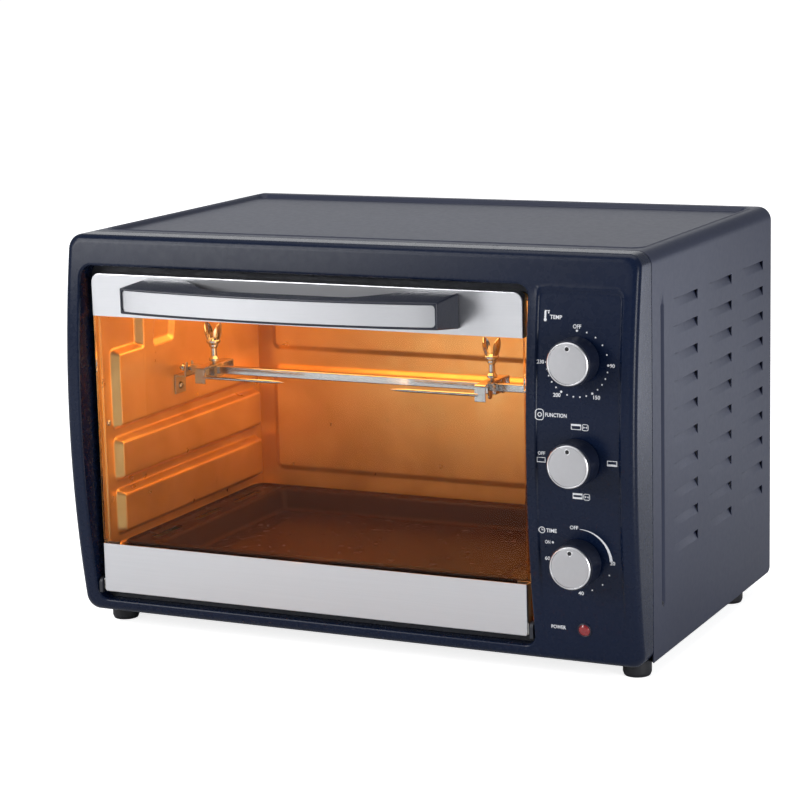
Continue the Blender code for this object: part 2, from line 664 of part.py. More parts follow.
def handle_z(y, upper):
    """Top or bottom of the handle, which gets slimmer from the door to its front."""
    root, tip = HANDLE_ROOT_Z[upper], HANDLE_TIP_Z[upper]
    return root + (tip - root) * (DOOR_FRONT_Y - y) / (DOOR_FRONT_Y - HANDLE_END_Y)


def handle_rear(x):
    """Back of the handle at x: the two posts reach the door, and the bar between them stands clear of it."""
    reach = HANDLE_HALF_LENGTH - abs(x - DOOR_CENTRE_X)
    share = min(max((reach - HANDLE_POST_WIDTH) / HANDLE_POST_FLARE, 0.0), 1.0)
    return DOOR_FRONT_Y - GAP + share * (HANDLE_REAR_Y - DOOR_FRONT_Y + GAP)


def handle_bar():
    """A bowed bar with slim front corners, whose two posts flare towards the door."""
    offsets = [HANDLE_HALF_LENGTH * k / 6 for k in range(-6, 7)]
    post = HANDLE_HALF_LENGTH - HANDLE_POST_WIDTH
    for bend in (post, post - HANDLE_POST_FLARE):
        offsets += [-bend, bend]
    bm = bmesh.new()
    columns = []
    for offset in sorted(offsets):
        x = DOOR_CENTRE_X + offset
        corners = ((handle_bow(x), 0), (handle_bow(x), 1), (handle_rear(x), 1), (handle_rear(x), 0))
        columns.append([bm.verts.new((x, y, handle_z(max(y, HANDLE_END_Y), upper))) for y, upper in corners])
    for near, far in zip(columns, columns[1:]):
        for i in range(4):
            j = (i + 1) % 4
            bm.faces.new((near[i], near[j], far[j], far[i]))
    bm.faces.new(columns[0])
    bm.faces.new(columns[-1])
    bmesh.ops.triangulate(bm, faces=bm.faces)
    bar = object_from("handle_bar", bm, "black_plastic")
    seat = insert_solid("handle_insert_seat", HANDLE_FRAME - GAP, -5 * MM, 1.4 * MM)
    bores = []
    for side, x in handle_screw_places():
        start = (x, DOOR_FRONT_Y - 14 * MM, HANDLE_SCREW_Z)
        bores.append(rod(f"handle_screw_{side}_bore", HANDLE_SCREW_RADIUS + 0.4 * MM, start, 20 * MM, along_y,
                         "black_plastic", 12))
    return cut(bar, seat, *bores)


def insert_solid(name, border, front, back):
    """A bowed plate between two offsets behind the handle's front arc."""
    left = DOOR_CENTRE_X - HANDLE_HALF_LENGTH + border
    right = DOOR_CENTRE_X + HANDLE_HALF_LENGTH - border
    steps = 12
    row = [left + (right - left) * k / steps for k in range(steps + 1)]
    outline = [(x, handle_bow(x) + front) for x in row] + [(x, handle_bow(x) + back) for x in reversed(row)]
    return prism(name, outline, "Z", HANDLE_TIP_Z[0] + border, HANDLE_TIP_Z[1] - border, "brushed_steel")


def handle_screw_places():
    for side, sign in (("left", -1), ("right", 1)):
        yield side, DOOR_CENTRE_X + sign * (HANDLE_HALF_LENGTH - HANDLE_POST_WIDTH / 2)


def door():
    """Drop-down door: two steel rails, the glass between them, the handle, and the hinge blocks."""
    top = rail("door_top_rail", TOP_RAIL_Z, DOOR_Z[1], "brushed_steel")
    bottom = rail("door_bottom_rail", BOTTOM_RAIL_Z, DOOR_Z[0], "brushed_steel")
    glass = box("door_glass", (DOOR_X[0] + 0.5 * MM, GLASS_FRONT_Y, GLASS_LOW_Z),
                (DOOR_X[1] - 0.5 * MM, GLASS_FRONT_Y + GLASS_THICKNESS, DOOR_Z[1] - 2 * MM), "glass")
    insert = insert_solid("handle_insert", HANDLE_FRAME, 0.2 * MM, 1.1 * MM)
    pieces = [top, bottom, glass, handle_bar(), insert]
    head_y = DOOR_BACK_Y - DOOR_FRONT_Y + GAP
    profile = [(-13 * MM, HANDLE_SCREW_RADIUS), (head_y, HANDLE_SCREW_RADIUS), (head_y, 3.5 * MM),
               (head_y + 1.7 * MM, 3.5 * MM), (head_y + 2.1 * MM, 2.5 * MM)]
    for side, x in handle_screw_places():
        place = along_y(x, DOOR_FRONT_Y, HANDLE_SCREW_Z)
        pieces.append(turned(f"handle_screw_{side}", profile, "zinc_steel", 12, place))
        clearance = rod(f"handle_screw_{side}_clearance", HANDLE_SCREW_RADIUS + GAP,
                        (x, DOOR_FRONT_Y - 5 * MM, HANDLE_SCREW_Z), 30 * MM, along_y, "brushed_steel", 12)
        cut(top, clearance)
        cut(glass, clearance)
    for side, end_x, outward in door_ends():
        pieces.append(hinge_pin(side, end_x, outward))
    for piece in pieces:
        set_origin(piece, (DOOR_CENTRE_X, HINGE_Y, HINGE_Z))


def door_ends():
    """Both ends of the door, as (side, end of the rail, direction away from the door)."""
    return ("left", DOOR_X[0], -1), ("right", DOOR_X[1], 1)


def hinge_pin(side, end_x, outward):
    """A block fixed in the end of the bottom rail, with the pin that the door swings on."""
    xs = sorted((end_x - outward * 0.5 * MM, end_x - outward * 12 * MM))
    clear = RAIL_SHEET + GAP
    block = box(f"hinge_pin_{side}", (xs[0], DOOR_FRONT_Y + clear, DOOR_Z[0] + clear),
                (xs[1], DOOR_BACK_Y - clear, 30 * MM), "zinc_steel")
    buried, proud = 4 * MM, 5.6 * MM
    start = min(end_x - outward * buried, end_x + outward * proud)
    pin = rod(f"hinge_pin_{side}_stem", HINGE_PIN_RADIUS, (start, HINGE_Y, HINGE_Z), buried + proud, along_x,
              "zinc_steel", 16)
    return unite(block, pin)


def hinge_brackets():
    """A plate beside each end of the door, in which the hinge pin turns."""
    for side, end_x, outward in door_ends():
        xs = sorted((end_x + outward * 2 * MM, end_x + outward * 5.4 * MM))
        bracket = box(f"hinge_bracket_{side}", (xs[0], -25 * MM, 17 * MM), (xs[1], FRAME_Y[0] - GAP, 31 * MM),
                      "zinc_steel")
        bore = rod(f"hinge_bore_{side}", HINGE_PIN_RADIUS + GAP, (xs[0] - 5 * MM, HINGE_Y, HINGE_Z), 14 * MM,
                   along_x, "zinc_steel", 16)
        cut(bracket, bore)


# ---------------------------------------------------------------- controls


def controls():
    """Three knobs with metal caps, each on the level shaft of a switch behind the fascia."""
    face = 0.8 * MM - KNOB_HEIGHT
    knob_profile = [(-GAP, 0), (-GAP, KNOB_BASE_RADIUS), (face + 0.6 * MM, KNOB_RADIUS),
                    (face, KNOB_RADIUS - 0.6 * MM), (face, 0)]
    cap_front = -KNOB_HEIGHT - KNOB_CAP_RISE
    cap_profile = [(face - GAP, 0), (face - GAP, KNOB_CAP_RADIUS), (cap_front, KNOB_CAP_RADIUS - 0.4 * MM),
                   (cap_front, 0)]
    for name, z in CONTROL_Z.items():
        axis = bpy.data.objects.new(f"{name}_axis", None)
        bpy.context.scene.collection.objects.link(axis)
        axis.location = (CONTROL_X, control_seat_y(z), z)
        knob = turned(f"{name}_knob", knob_profile, "black_plastic", 32)
        bore = rod(f"{name}_knob_bore", SHAFT_RADIUS + GAP, (0, -SHAFT_REACH - 0.4 * MM, 0), 20 * MM, along_y,
                   "black_plastic")
        cap = turned(f"{name}_knob_cap", cap_profile, "brushed_steel", 32)
        half_x, half_z = CONTROL_HALF[name]
        front = max(fascia_y(z - half_z), fascia_y(z + half_z)) + FASCIA_WALL + 1.2 * MM - control_seat_y(z)
        back = front + CONTROL_DEPTH[name]
        body = box(CONTROL_BODY[name], (-half_x, front, -half_z), (half_x, back, half_z), "zinc_steel")
        shaft = rod(f"{name}_shaft", SHAFT_RADIUS, (0, -SHAFT_REACH, 0), SHAFT_REACH + front - GAP, along_y,
                    "zinc_steel")
        for piece in (knob, cap, shaft, body, bore):
            piece.parent = axis
        cut(knob, bore)


def power_lamp():
    place = lamp_place()
    lens = [(-2.2 * MM, 0), (-2.0 * MM, 2 * MM), (-1.2 * MM, 3.4 * MM), (-GAP, 3.9 * MM), (2 * MM, 3.9 * MM),
            (2 * MM, 0)]
    turned("power_lamp_lens", lens, "red_lens", 20, place)
    holder = [(2 * MM + GAP, 0), (2 * MM + GAP, 3.9 * MM), (FASCIA_WALL + GAP, 3.9 * MM),
              (FASCIA_WALL + GAP, 6 * MM), (FASCIA_WALL + 2 * MM, 6 * MM), (FASCIA_WALL + 2 * MM, 3.5 * MM),
              (18 * MM, 3.5 * MM), (18 * MM, 0)]
    turned("power_lamp_holder", holder, "black_plastic", 20, place)


# ---------------------------------------------------------------- rotisserie


def rotisserie():
    spit_point = (0, SPIT_Y, SPIT_Z)
    neck = CAVITY_X[0] + PANEL_RISE + 14 * MM
    half = SPIT_HALF_SIDE
    bar = box("spit_rod", (neck, SPIT_Y - half, SPIT_Z - half), (SPIT_X[1], SPIT_Y + half, SPIT_Z + half),
              "chrome")
    tip_profile = [(0, 0), (1 * MM, 2.5 * MM), (3 * MM, 3.6 * MM), (5 * MM, NECK_RADIUS),
                   (16 * MM, NECK_RADIUS)]
    tip = turned("spit_tip", tip_profile, "chrome", 16, along_x(SPIT_X[0] + 0.8 * MM, SPIT_Y, SPIT_Z))
    set_origin(unite(bar, tip), spit_point)
    drive_socket(spit_point)
    for side, direction in (("left", 1), ("right", -1)):
        rotisserie_fork(side, direction)
    spit_bracket()
    motor()


def drive_socket(spit_point):
    start = CAVITY_X[1] - PANEL_RISE - 8 * MM
    drum, shaft = 20 * MM, 30 * MM
    profile = [(0, SOCKET_RADIUS - 1 * MM), (1 * MM, SOCKET_RADIUS), (drum, SOCKET_RADIUS),
               (drum, SHAFT_RADIUS), (shaft, SHAFT_RADIUS)]
    socket = turned("drive_socket", profile, "zinc_steel", 20, along_x(start, SPIT_Y, SPIT_Z))
    half = SPIT_HALF_SIDE + GAP
    bore = box("drive_socket_bore", (start - 5 * MM, SPIT_Y - half, SPIT_Z - half),
               (SPIT_X[1] + GAP, SPIT_Y + half, SPIT_Z + half), "zinc_steel")
    set_origin(cut(socket, bore), spit_point)


def rotisserie_fork(side, direction):
    """Square sleeve on the bar, a cross strip with its ends bent down, and two pointed tines."""
    x = FORK_X[side]
    half = SPIT_HALF_SIDE + GAP
    sleeve = box(f"fork_{side}", (x - 6 * MM, SPIT_Y - 6 * MM, SPIT_Z - 6 * MM),
                 (x + 6 * MM, SPIT_Y + 6 * MM, SPIT_Z + 7.5 * MM), "chrome")
    bottom, top = SPIT_Z + 4.4 * MM, SPIT_Z + 4.4 * MM + FORK_STRIP
    foot = SPIT_Z - 9 * MM
    span = FORK_HALF_SPAN
    near, far = SPIT_Y - span, SPIT_Y + span
    outline = [(near, foot), (near, top), (far, top), (far, foot), (far - FORK_STRIP, foot),
               (far - FORK_STRIP, bottom), (near + FORK_STRIP, bottom), (near + FORK_STRIP, foot)]
    strip = prism(f"fork_{side}_strip", outline, "X", x - 5 * MM, x + 5 * MM, "chrome")
    profile = [(0, TINE_RADIUS), (TINE_LENGTH - 12 * MM, TINE_RADIUS), (TINE_LENGTH, 0)]
    tines = []
    for end in (-1, 1):
        tine_y = SPIT_Y + end * (span - FORK_STRIP / 2)
        place = Matrix.Translation((x + direction * 2 * MM, tine_y, SPIT_Z - 3 * MM))
        place = place @ Matrix.Rotation(math.radians(-90 * direction), 4, "Z")
        tines.append(turned(f"fork_{side}_tine_{end}", profile, "chrome", 10, place))
    bore = box(f"fork_{side}_bore", (x - 10 * MM, SPIT_Y - half, SPIT_Z - half),
               (x + 10 * MM, SPIT_Y + half, SPIT_Z + half), "chrome")
    hole = rod(f"fork_{side}_screw_hole", 2 * MM + GAP, (x, SPIT_Y, SPIT_Z), 12 * MM, along_z, "chrome", 12)
    fork = unite(sleeve, strip, *tines)
    cut(fork, bore, hole)
    set_origin(fork, (x, SPIT_Y, SPIT_Z))
    set_origin(thumb_screw(side, x), (x, SPIT_Y, SPIT_Z))


def thumb_screw(side, x):
    """Clamping screw whose head is two upright wings, like an open tulip."""
    start = SPIT_HALF_SIDE + GAP
    stem = [(start, 2 * MM), (9 * MM, 2 * MM), (9 * MM, 4.6 * MM), (13 * MM, 3 * MM), (20 * MM, 2.6 * MM),
            (22 * MM, 4 * MM), (25 * MM, 4.5 * MM)]
    screw = turned(f"thumb_screw_{side}", stem, "chrome", 16, along_z(x, SPIT_Y, SPIT_Z))
    wing = [(2.2 * MM, 23 * MM), (7 * MM, 25 * MM), (8.6 * MM, 31 * MM), (8 * MM, 42 * MM),
            (4.4 * MM, 43 * MM), (4.2 * MM, 33 * MM), (2.6 * MM, 28 * MM), (0, 27 * MM)]
    outline = wing + [(-a, b) for a, b in reversed(wing[:-1])]
    head = prism(f"thumb_screw_{side}_head", [(x + a, SPIT_Z + b) for a, b in outline], "Y",
                 SPIT_Y - 2.2 * MM, SPIT_Y + 2.2 * MM, "chrome")
    return unite(screw, head)


def spit_bracket():
    """Pressed cradle on the left wall: foot plate, arm, and a fork open at the top for the spit's neck."""
    wall_x = CAVITY_X[0] + PANEL_RISE + GAP
    plate = box("spit_bracket", (wall_x, SPIT_Y - 9 * MM, SPIT_Z - 24 * MM),
                (wall_x + 1.5 * MM, SPIT_Y + 9 * MM, SPIT_Z - 6 * MM), "zinc_steel")
    arm = box("spit_bracket_arm", (wall_x, SPIT_Y - 9 * MM, SPIT_Z - 7.5 * MM),
              (wall_x + 12 * MM, SPIT_Y + 9 * MM, SPIT_Z - 6 * MM), "zinc_steel")
    gap = NECK_RADIUS + GAP
    cradle = prism("spit_bracket_cradle",
                   [(SPIT_Y - 9 * MM, SPIT_Z - 7.5 * MM), (SPIT_Y + 9 * MM, SPIT_Z - 7.5 * MM),
                    (SPIT_Y + 7 * MM, SPIT_Z + 6 * MM), (SPIT_Y + gap, SPIT_Z + 6 * MM),
                    (SPIT_Y + gap, SPIT_Z - gap), (SPIT_Y - gap, SPIT_Z - gap),
                    (SPIT_Y - gap, SPIT_Z + 6 * MM), (SPIT_Y - 7 * MM, SPIT_Z + 6 * MM)],
                   "X", wall_x + 10.2 * MM, wall_x + 12 * MM, "zinc_steel")
    bracket = unite(plate, arm, cradle)
    hole = rod("spit_bracket_hole", BRACKET_SCREW_RADIUS + GAP, (wall_x - 5 * MM, SPIT_Y, BRACKET_SCREW_Z),
               12 * MM, along_x, "zinc_steel", 12)
    cut(bracket, hole)
    seat = 1.5 * MM + GAP
    profile = [(-14 * MM, BRACKET_SCREW_RADIUS), (seat, BRACKET_SCREW_RADIUS), (seat, 3.4 * MM),
               (3 * MM, 3 * MM), (3.5 * MM, 1.5 * MM)]
    turned("spit_bracket_screw", profile, "zinc_steel", 12, along_x(wall_x, SPIT_Y, BRACKET_SCREW_Z))


def motor():
    """Synchronous gear motor that turns the drive socket, on a bracket fixed to the right cavity wall."""
    face, plate = CAVITY_X[1] + 13 * MM, 1.5 * MM
    wall = CAVITY_X[1] + SHEET + GAP
    bottom, top = SPIT_Z - 44 * MM, SPIT_Z + 34 * MM
    outline = [(wall, bottom), (face, bottom), (face, top), (face - plate, top),
               (face - plate, bottom + plate), (wall, bottom + plate)]
    bracket = prism("motor_bracket", outline, "Y", SPIT_Y - 20 * MM, SPIT_Y + 20 * MM, "zinc_steel")
    hole = rod("motor_bracket_hole", SOCKET_RADIUS + 1 * MM, (face - 10 * MM, SPIT_Y, SPIT_Z), 20 * MM,
               along_x, "zinc_steel", 20)
    cut(bracket, hole)
    profile = [(0, MOTOR_RADIUS - 1 * MM), (1.5 * MM, MOTOR_RADIUS), (19 * MM, MOTOR_RADIUS),
               (20.5 * MM, MOTOR_RADIUS - 1 * MM)]
    case = turned("rotisserie_motor", profile, "zinc_steel", 32, along_x(face + GAP, SPIT_Y, SPIT_Z))
    bore = rod("motor_bore", SHAFT_RADIUS + GAP, (face - 5 * MM, SPIT_Y, SPIT_Z), 14 * MM, along_x,
               "zinc_steel")
    cut(case, bore)


# ---------------------------------------------------------------- trays and cord inlet


def pressed_tray(name, x_range, y_range, rim_z, depth, ledge, rim, material_name):
    """A pan pressed from one sheet: a flat rim all round and a floor joined by sloping walls."""
    slope = 7 * MM
    outline = [(0.0, 0.0, 0.0), (ledge, rim, 0.0), (ledge + slope, rim + slope, -depth)]
    bm = bmesh.new()
    levels = []
    for back in (0.0, SHEET):
        rings = []
        for inset_x, inset_y, drop in outline:
            low = (x_range[0] + inset_x, y_range[0] + inset_y)
            high = (x_range[1] - inset_x, y_range[1] - inset_y)
            corners = [(low[0], low[1]), (high[0], low[1]), (high[0], high[1]), (low[0], high[1])]
            rings.append([bm.verts.new((x, y, rim_z + drop - back)) for x, y in corners])
        for outer, inner in zip(rings, rings[1:]):
            for i in range(4):
                j = (i + 1) % 4
                bm.faces.new((outer[i], outer[j], inner[j], inner[i]))
        bm.faces.new(rings[-1])
        levels.append(rings)
    for i in range(4):
        j = (i + 1) % 4
        bm.faces.new((levels[0][0][i], levels[0][0][j], levels[1][0][j], levels[1][0][i]))
    bmesh.ops.triangulate(bm, faces=bm.faces)
    return object_from(name, bm, material_name)


def trays():
    """The baking tray, slotted along both ends, and the crumb tray under the lower heaters."""
    tray = pressed_tray("baking_tray", TRAY_X, TRAY_Y, TRAY_RIM_Z, TRAY_DEPTH, TRAY_LEDGE, TRAY_RIM,
                        "tray_enamel")
    middle_y = sum(TRAY_Y) / 2 - 4 * MM
    half = Vector((TRAY_SLOT_WIDTH / 2, TRAY_SLOT_LENGTH / 2, 5 * MM))
    slots = []
    for x in (TRAY_X[0] + TRAY_LEDGE / 2, TRAY_X[1] - TRAY_LEDGE / 2):
        for step in (-1, 0, 1):
            centre = Vector((x, middle_y + step * TRAY_SLOT_PITCH, TRAY_RIM_Z))
            slots.append((centre - half, centre + half))
    cut(tray, boxes("tray_slots", slots, "tray_enamel"))
    pressed_tray("crumb_tray", CRUMB_X, CRUMB_Y, CAVITY_Z[0] + CRUMB_DEPTH + 1.5 * MM, CRUMB_DEPTH, CRUMB_RIM,
                 CRUMB_RIM, "zinc_steel")


def cord_gland():
    """Bush in the rear cover that the mains cord passes through."""
    profile = [(-8 * MM, GLAND_RADIUS), (GAP, GLAND_RADIUS), (GAP, GLAND_RADIUS + 3 * MM),
               (2.4 * MM, GLAND_RADIUS + 2 * MM)]
    gland = turned("cord_gland", profile, "black_plastic", 20, along_y(GLAND_X, REAR_COVER_Y, GLAND_Z))
    bore = rod("cord_gland_bore", GLAND_BORE, (GLAND_X, REAR_COVER_Y - 12 * MM, GLAND_Z), 20 * MM, along_y,
               "black_plastic")
    cut(gland, bore)


def carry_all():
    """Parents everything that is still free to one empty that sits in the object's frame."""
    oven = bpy.data.objects.new("oven", None)
    bpy.context.scene.collection.objects.link(oven)
    for made in list(bpy.context.scene.objects):
        if made.parent is None and made is not oven:
            made.parent = oven
    oven.location = FRAME_OFFSET


def main():
    for old in list(bpy.data.objects):
        bpy.data.objects.remove(old, do_unlink=True)
    front_fascia()
    wrap_casing()
    rear_cover()
    base_pan()
    feet()
    side_screws()
    cavity_walls()
    front_frame()
    heaters()
    oven_lamp()
    door()
    hinge_brackets()
    controls()
    power_lamp()
    rotisserie()
    trays()
    cord_gland()
    carry_all()


main()
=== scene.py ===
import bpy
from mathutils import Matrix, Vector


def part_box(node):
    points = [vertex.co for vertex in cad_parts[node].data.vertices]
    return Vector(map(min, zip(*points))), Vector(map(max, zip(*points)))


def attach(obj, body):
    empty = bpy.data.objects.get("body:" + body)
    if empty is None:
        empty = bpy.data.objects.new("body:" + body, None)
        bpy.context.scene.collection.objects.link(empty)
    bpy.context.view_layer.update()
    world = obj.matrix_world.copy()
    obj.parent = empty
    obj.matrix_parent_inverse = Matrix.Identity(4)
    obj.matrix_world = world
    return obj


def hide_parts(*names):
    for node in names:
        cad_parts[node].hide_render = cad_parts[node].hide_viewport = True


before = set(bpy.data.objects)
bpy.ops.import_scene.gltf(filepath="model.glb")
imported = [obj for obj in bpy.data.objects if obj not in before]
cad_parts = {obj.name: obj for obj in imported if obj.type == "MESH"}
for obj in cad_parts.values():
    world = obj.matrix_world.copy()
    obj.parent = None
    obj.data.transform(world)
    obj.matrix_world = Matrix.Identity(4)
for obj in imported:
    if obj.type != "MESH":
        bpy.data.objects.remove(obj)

"""The looks of a countertop rotisserie oven: detailed pieces and procedural materials around the CAD frame.

All sizes are in metres. Pieces are drawn in the casing's frame: x from the casing's centre plane, y from the seam
between fascia and casing (negative in front of it), z from the casing's bottom. ORIGIN carries them to their place.
"""

import math

import bmesh
import bpy
from mathutils import Matrix, Vector, noise

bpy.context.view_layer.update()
MM = 0.001
GAP = 0.3 * MM

CASING_LOW, CASING_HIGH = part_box("wrap_casing")
ORIGIN = Vector((0, CASING_LOW.y - GAP, CASING_LOW.z))


def span(node):
    """A CAD node's lowest and highest corner in the casing's frame."""
    low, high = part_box(node)
    return low - ORIGIN, high - ORIGIN


HALF_WIDTH = CASING_HIGH.x
HEIGHT = CASING_HIGH.z - CASING_LOW.z
DEPTH = CASING_HIGH.y - ORIGIN.y
SHEET = 1.0 * MM
CORNER = 12 * MM

FASCIA_CREST_Y = span("front_fascia")[0].y
FASCIA_CREST_Z = 175 * MM
FASCIA_RADIUS = 870 * MM
FASCIA_FILLET = 6 * MM
FASCIA_WALL = 2.4 * MM
RECESS_LOW, RECESS_HIGH = span("front_frame")
RECESS_X = (RECESS_LOW.x - GAP, RECESS_HIGH.x + GAP)
RECESS_Z = (RECESS_LOW.z - GAP, RECESS_HIGH.z + GAP)
RECESS_RADIUS = 10 * MM

DOOR_TOP_LOW, DOOR_TOP_HIGH = span("door_top_rail")
DOOR_BOTTOM_LOW, DOOR_BOTTOM_HIGH = span("door_bottom_rail")
DOOR_X = (DOOR_TOP_LOW.x, DOOR_TOP_HIGH.x)
DOOR_CENTRE_X = sum(DOOR_X) / 2
DOOR_FRONT_Y = DOOR_TOP_LOW.y
DOOR_BACK_Y = DOOR_TOP_HIGH.y

WALL_LEFT_X = span("cavity_left_wall")[0].x + SHEET
WALL_RIGHT_X = span("cavity_right_wall")[1].x - SHEET
CAVITY_FRONT_Y = span("cavity_left_wall")[0].y
CAVITY_REAR_Y = span("cavity_rear_wall")[0].y
CAVITY_FLOOR_Z = span("cavity_floor")[1].z
CAVITY_ROOF_Z = span("cavity_roof")[0].z

SPIT_LOW, SPIT_HIGH = span("spit_rod")
SPIT_Y = (SPIT_LOW.y + SPIT_HIGH.y) / 2
SPIT_Z = (SPIT_LOW.z + SPIT_HIGH.z) / 2

CONTROL_X = 216 * MM
CONTROL_Z = {"temperature": 254.5 * MM, "function": 172.5 * MM, "timer": 89.5 * MM}
POWER_LAMP_Z = 30.5 * MM
KNOB_BASE_RADIUS = 19 * MM


# ---------------------------------------------------------------- materials


class Finish:
    """A Principled material with helpers for its procedural detail, in the piece's own coordinates."""

    def __init__(self, name, colour, roughness, metallic=0.0, **sockets):
        self.made = bpy.data.materials.new(name)
        self.made.use_nodes = True
        tree = self.made.node_tree
        self.nodes, self.links = tree.nodes, tree.links
        self.shader = self.nodes["Principled BSDF"]
        self.shader.inputs["Base Color"].default_value = (*colour, 1.0)
        self.shader.inputs["Roughness"].default_value = roughness
        self.shader.inputs["Metallic"].default_value = metallic
        for socket, value in sockets.items():
            self.shader.inputs[socket.replace("_", " ")].default_value = value
        self.place = self.nodes.new("ShaderNodeTexCoord").outputs["Object"]
        self.normal = None

    def mapped(self, stretch, turn=(0, 0, 0)):
        node = self.nodes.new("ShaderNodeMapping")
        node.inputs["Scale"].default_value = stretch
        node.inputs["Rotation"].default_value = turn
        self.links.new(self.place, node.inputs["Vector"])
        return node.outputs["Vector"]

    def noise(self, scale, detail=3.0, stretch=(1, 1, 1), roughness=0.5, distortion=0.0, turn=(0, 0, 0)):
        node = self.nodes.new("ShaderNodeTexNoise")
        node.inputs["Scale"].default_value = scale
        node.inputs["Detail"].default_value = detail
        node.inputs["Roughness"].default_value = roughness
        node.inputs["Distortion"].default_value = distortion
        self.links.new(self.mapped(stretch, turn), node.inputs["Vector"])
        return node.outputs["Fac"]

    def cells(self, scale, stretch=(1, 1, 1)):
        node = self.nodes.new("ShaderNodeTexVoronoi")
        node.inputs["Scale"].default_value = scale
        self.links.new(self.mapped(stretch), node.inputs["Vector"])
        return node.outputs["Distance"]

    def rings(self, scale, distortion=0.0):
        """Fine turning marks round the piece's local Y axis."""
        node = self.nodes.new("ShaderNodeTexWave")
        node.wave_type = "RINGS"
        node.rings_direction = "Y"
        node.inputs["Scale"].default_value = scale
        node.inputs["Distortion"].default_value = distortion
        node.inputs["Detail Scale"].default_value = 4.0
        self.links.new(self.place, node.inputs["Vector"])
        return node.outputs["Fac"]

    def spread(self, source, low, high, start=0.3, end=0.7):
        node = self.nodes.new("ShaderNodeMapRange")
        for name, value in (("From Min", start), ("From Max", end), ("To Min", low), ("To Max", high)):
            node.inputs[name].default_value = value
        self.links.new(source, node.inputs["Value"])
        return node.outputs["Result"]

    def tint(self, source, *stops):
        """Base colour from a ramp of (position, colour) stops."""
        node = self.nodes.new("ShaderNodeValToRGB")
        ramp = node.color_ramp
        while len(ramp.elements) < len(stops):
            ramp.elements.new(0.5)
        for element, (position, colour) in zip(ramp.elements, stops):
            element.position = position
            element.color = (*colour, 1.0)
        self.links.new(source, node.inputs["Fac"])
        self.links.new(node.outputs["Color"], self.shader.inputs["Base Color"])
        return self

    def vary_roughness(self, source, low, high, start=0.3, end=0.7):
        self.links.new(self.spread(source, low, high, start, end), self.shader.inputs["Roughness"])
        return self

    def bump(self, source, height, strength=1.0):
        node = self.nodes.new("ShaderNodeBump")
        node.inputs["Strength"].default_value = strength
        node.inputs["Distance"].default_value = height
        self.links.new(source, node.inputs["Height"])
        if self.normal:
            self.links.new(self.normal, node.inputs["Normal"])
        self.normal = node.outputs["Normal"]
        self.links.new(self.normal, self.shader.inputs["Normal"])
        return self


def shades(colour, *factors):
    """The same colour at several strengths, spread as the stops of a ramp."""
    last = len(factors) - 1
    return [(0.3 + 0.4 * k / last, tuple(min(c * f, 1.0) for c in colour)) for k, f in enumerate(factors)]


def navy_paint():
    """Satin powder paint: fine orange peel, faint dust mottling."""
    colour = (0.003, 0.0078, 0.026)
    f = Finish("navy_paint", colour, 0.27, Specular_IOR_Level=0.21)
    f.tint(f.noise(9, 3), *shades(colour, 0.94, 1.0, 1.07))
    f.vary_roughness(f.noise(160, 3), 0.25, 0.3)
    f.bump(f.noise(1500, 2), 0.006 * MM, 0.35)
    return f.made


def casing_paint():
    """The casing's coarser powder coat, a little greyer than the fascia."""
    colour = (0.019, 0.024, 0.05)
    f = Finish("casing_paint", colour, 0.43, Specular_IOR_Level=0.3)
    f.tint(f.noise(9, 3), *shades(colour, 0.94, 1.0, 1.06))
    f.vary_roughness(f.noise(220, 3), 0.41, 0.45)
    f.bump(f.noise(1900, 2), 0.005 * MM, 0.4)
    return f.made


def dark_sheet():
    colour = (0.017, 0.019, 0.027)
    f = Finish("dark_sheet", colour, 0.5, 0.1)
    f.tint(f.noise(18, 4), *shades(colour, 0.8, 1.0, 1.3))
    f.vary_roughness(f.noise(240, 3), 0.44, 0.58)
    f.bump(f.noise(1700, 2), 0.03 * MM, 0.5)
    return f.made


def brushed_steel(name="brushed_steel", along=(1, 0, 0), colour=(0.66, 0.665, 0.69)):
    """Steel brushed along one axis: long fine scratches, kept faint."""
    stretch = tuple(0.012 if a else 1.0 for a in along)
    f = Finish(name, colour, 0.3, 1.0)
    scratches = f.noise(2600, 4, stretch, roughness=0.7)
    f.tint(f.noise(900, 3, stretch, roughness=0.6), *shades(colour, 0.985, 1.0, 1.015))
    f.vary_roughness(scratches, 0.29, 0.32)
    f.bump(scratches, 0.0015 * MM, 0.3)
    return f.made


def spun_steel():
    """Knob faces: fine satin grain with faint turning marks."""
    colour = (0.52, 0.52, 0.54)
    f = Finish("spun_steel", colour, 0.36, 1.0)
    grain = f.noise(2400, 3)
    f.tint(f.noise(300, 3), *shades(colour, 0.985, 1.0, 1.015))
    f.vary_roughness(grain, 0.34, 0.38)
    f.bump(f.rings(900, 1.5), 0.002 * MM, 0.2).bump(grain, 0.002 * MM, 0.3)
    return f.made


def bright_rim():
    """Diamond-cut rims: bright, with faint tool marks."""
    colour = (0.74, 0.74, 0.76)
    f = Finish("bright_rim", colour, 0.3, 1.0)
    f.tint(f.noise(400, 2), *shades(colour, 0.98, 1.0, 1.02))
    f.vary_roughness(f.noise(900, 2), 0.28, 0.32)
    return f.made


def chrome():
    """Bright plating with faint smears and tiny pits."""
    colour = (0.5, 0.49, 0.49)
    f = Finish("chrome", colour, 0.16, 1.0)
    f.tint(f.noise(60, 3), *shades(colour, 0.9, 1.0, 1.06))
    f.vary_roughness(f.noise(140, 4), 0.12, 0.24)
    f.bump(f.noise(700, 3), 0.01 * MM, 0.3)
    return f.made


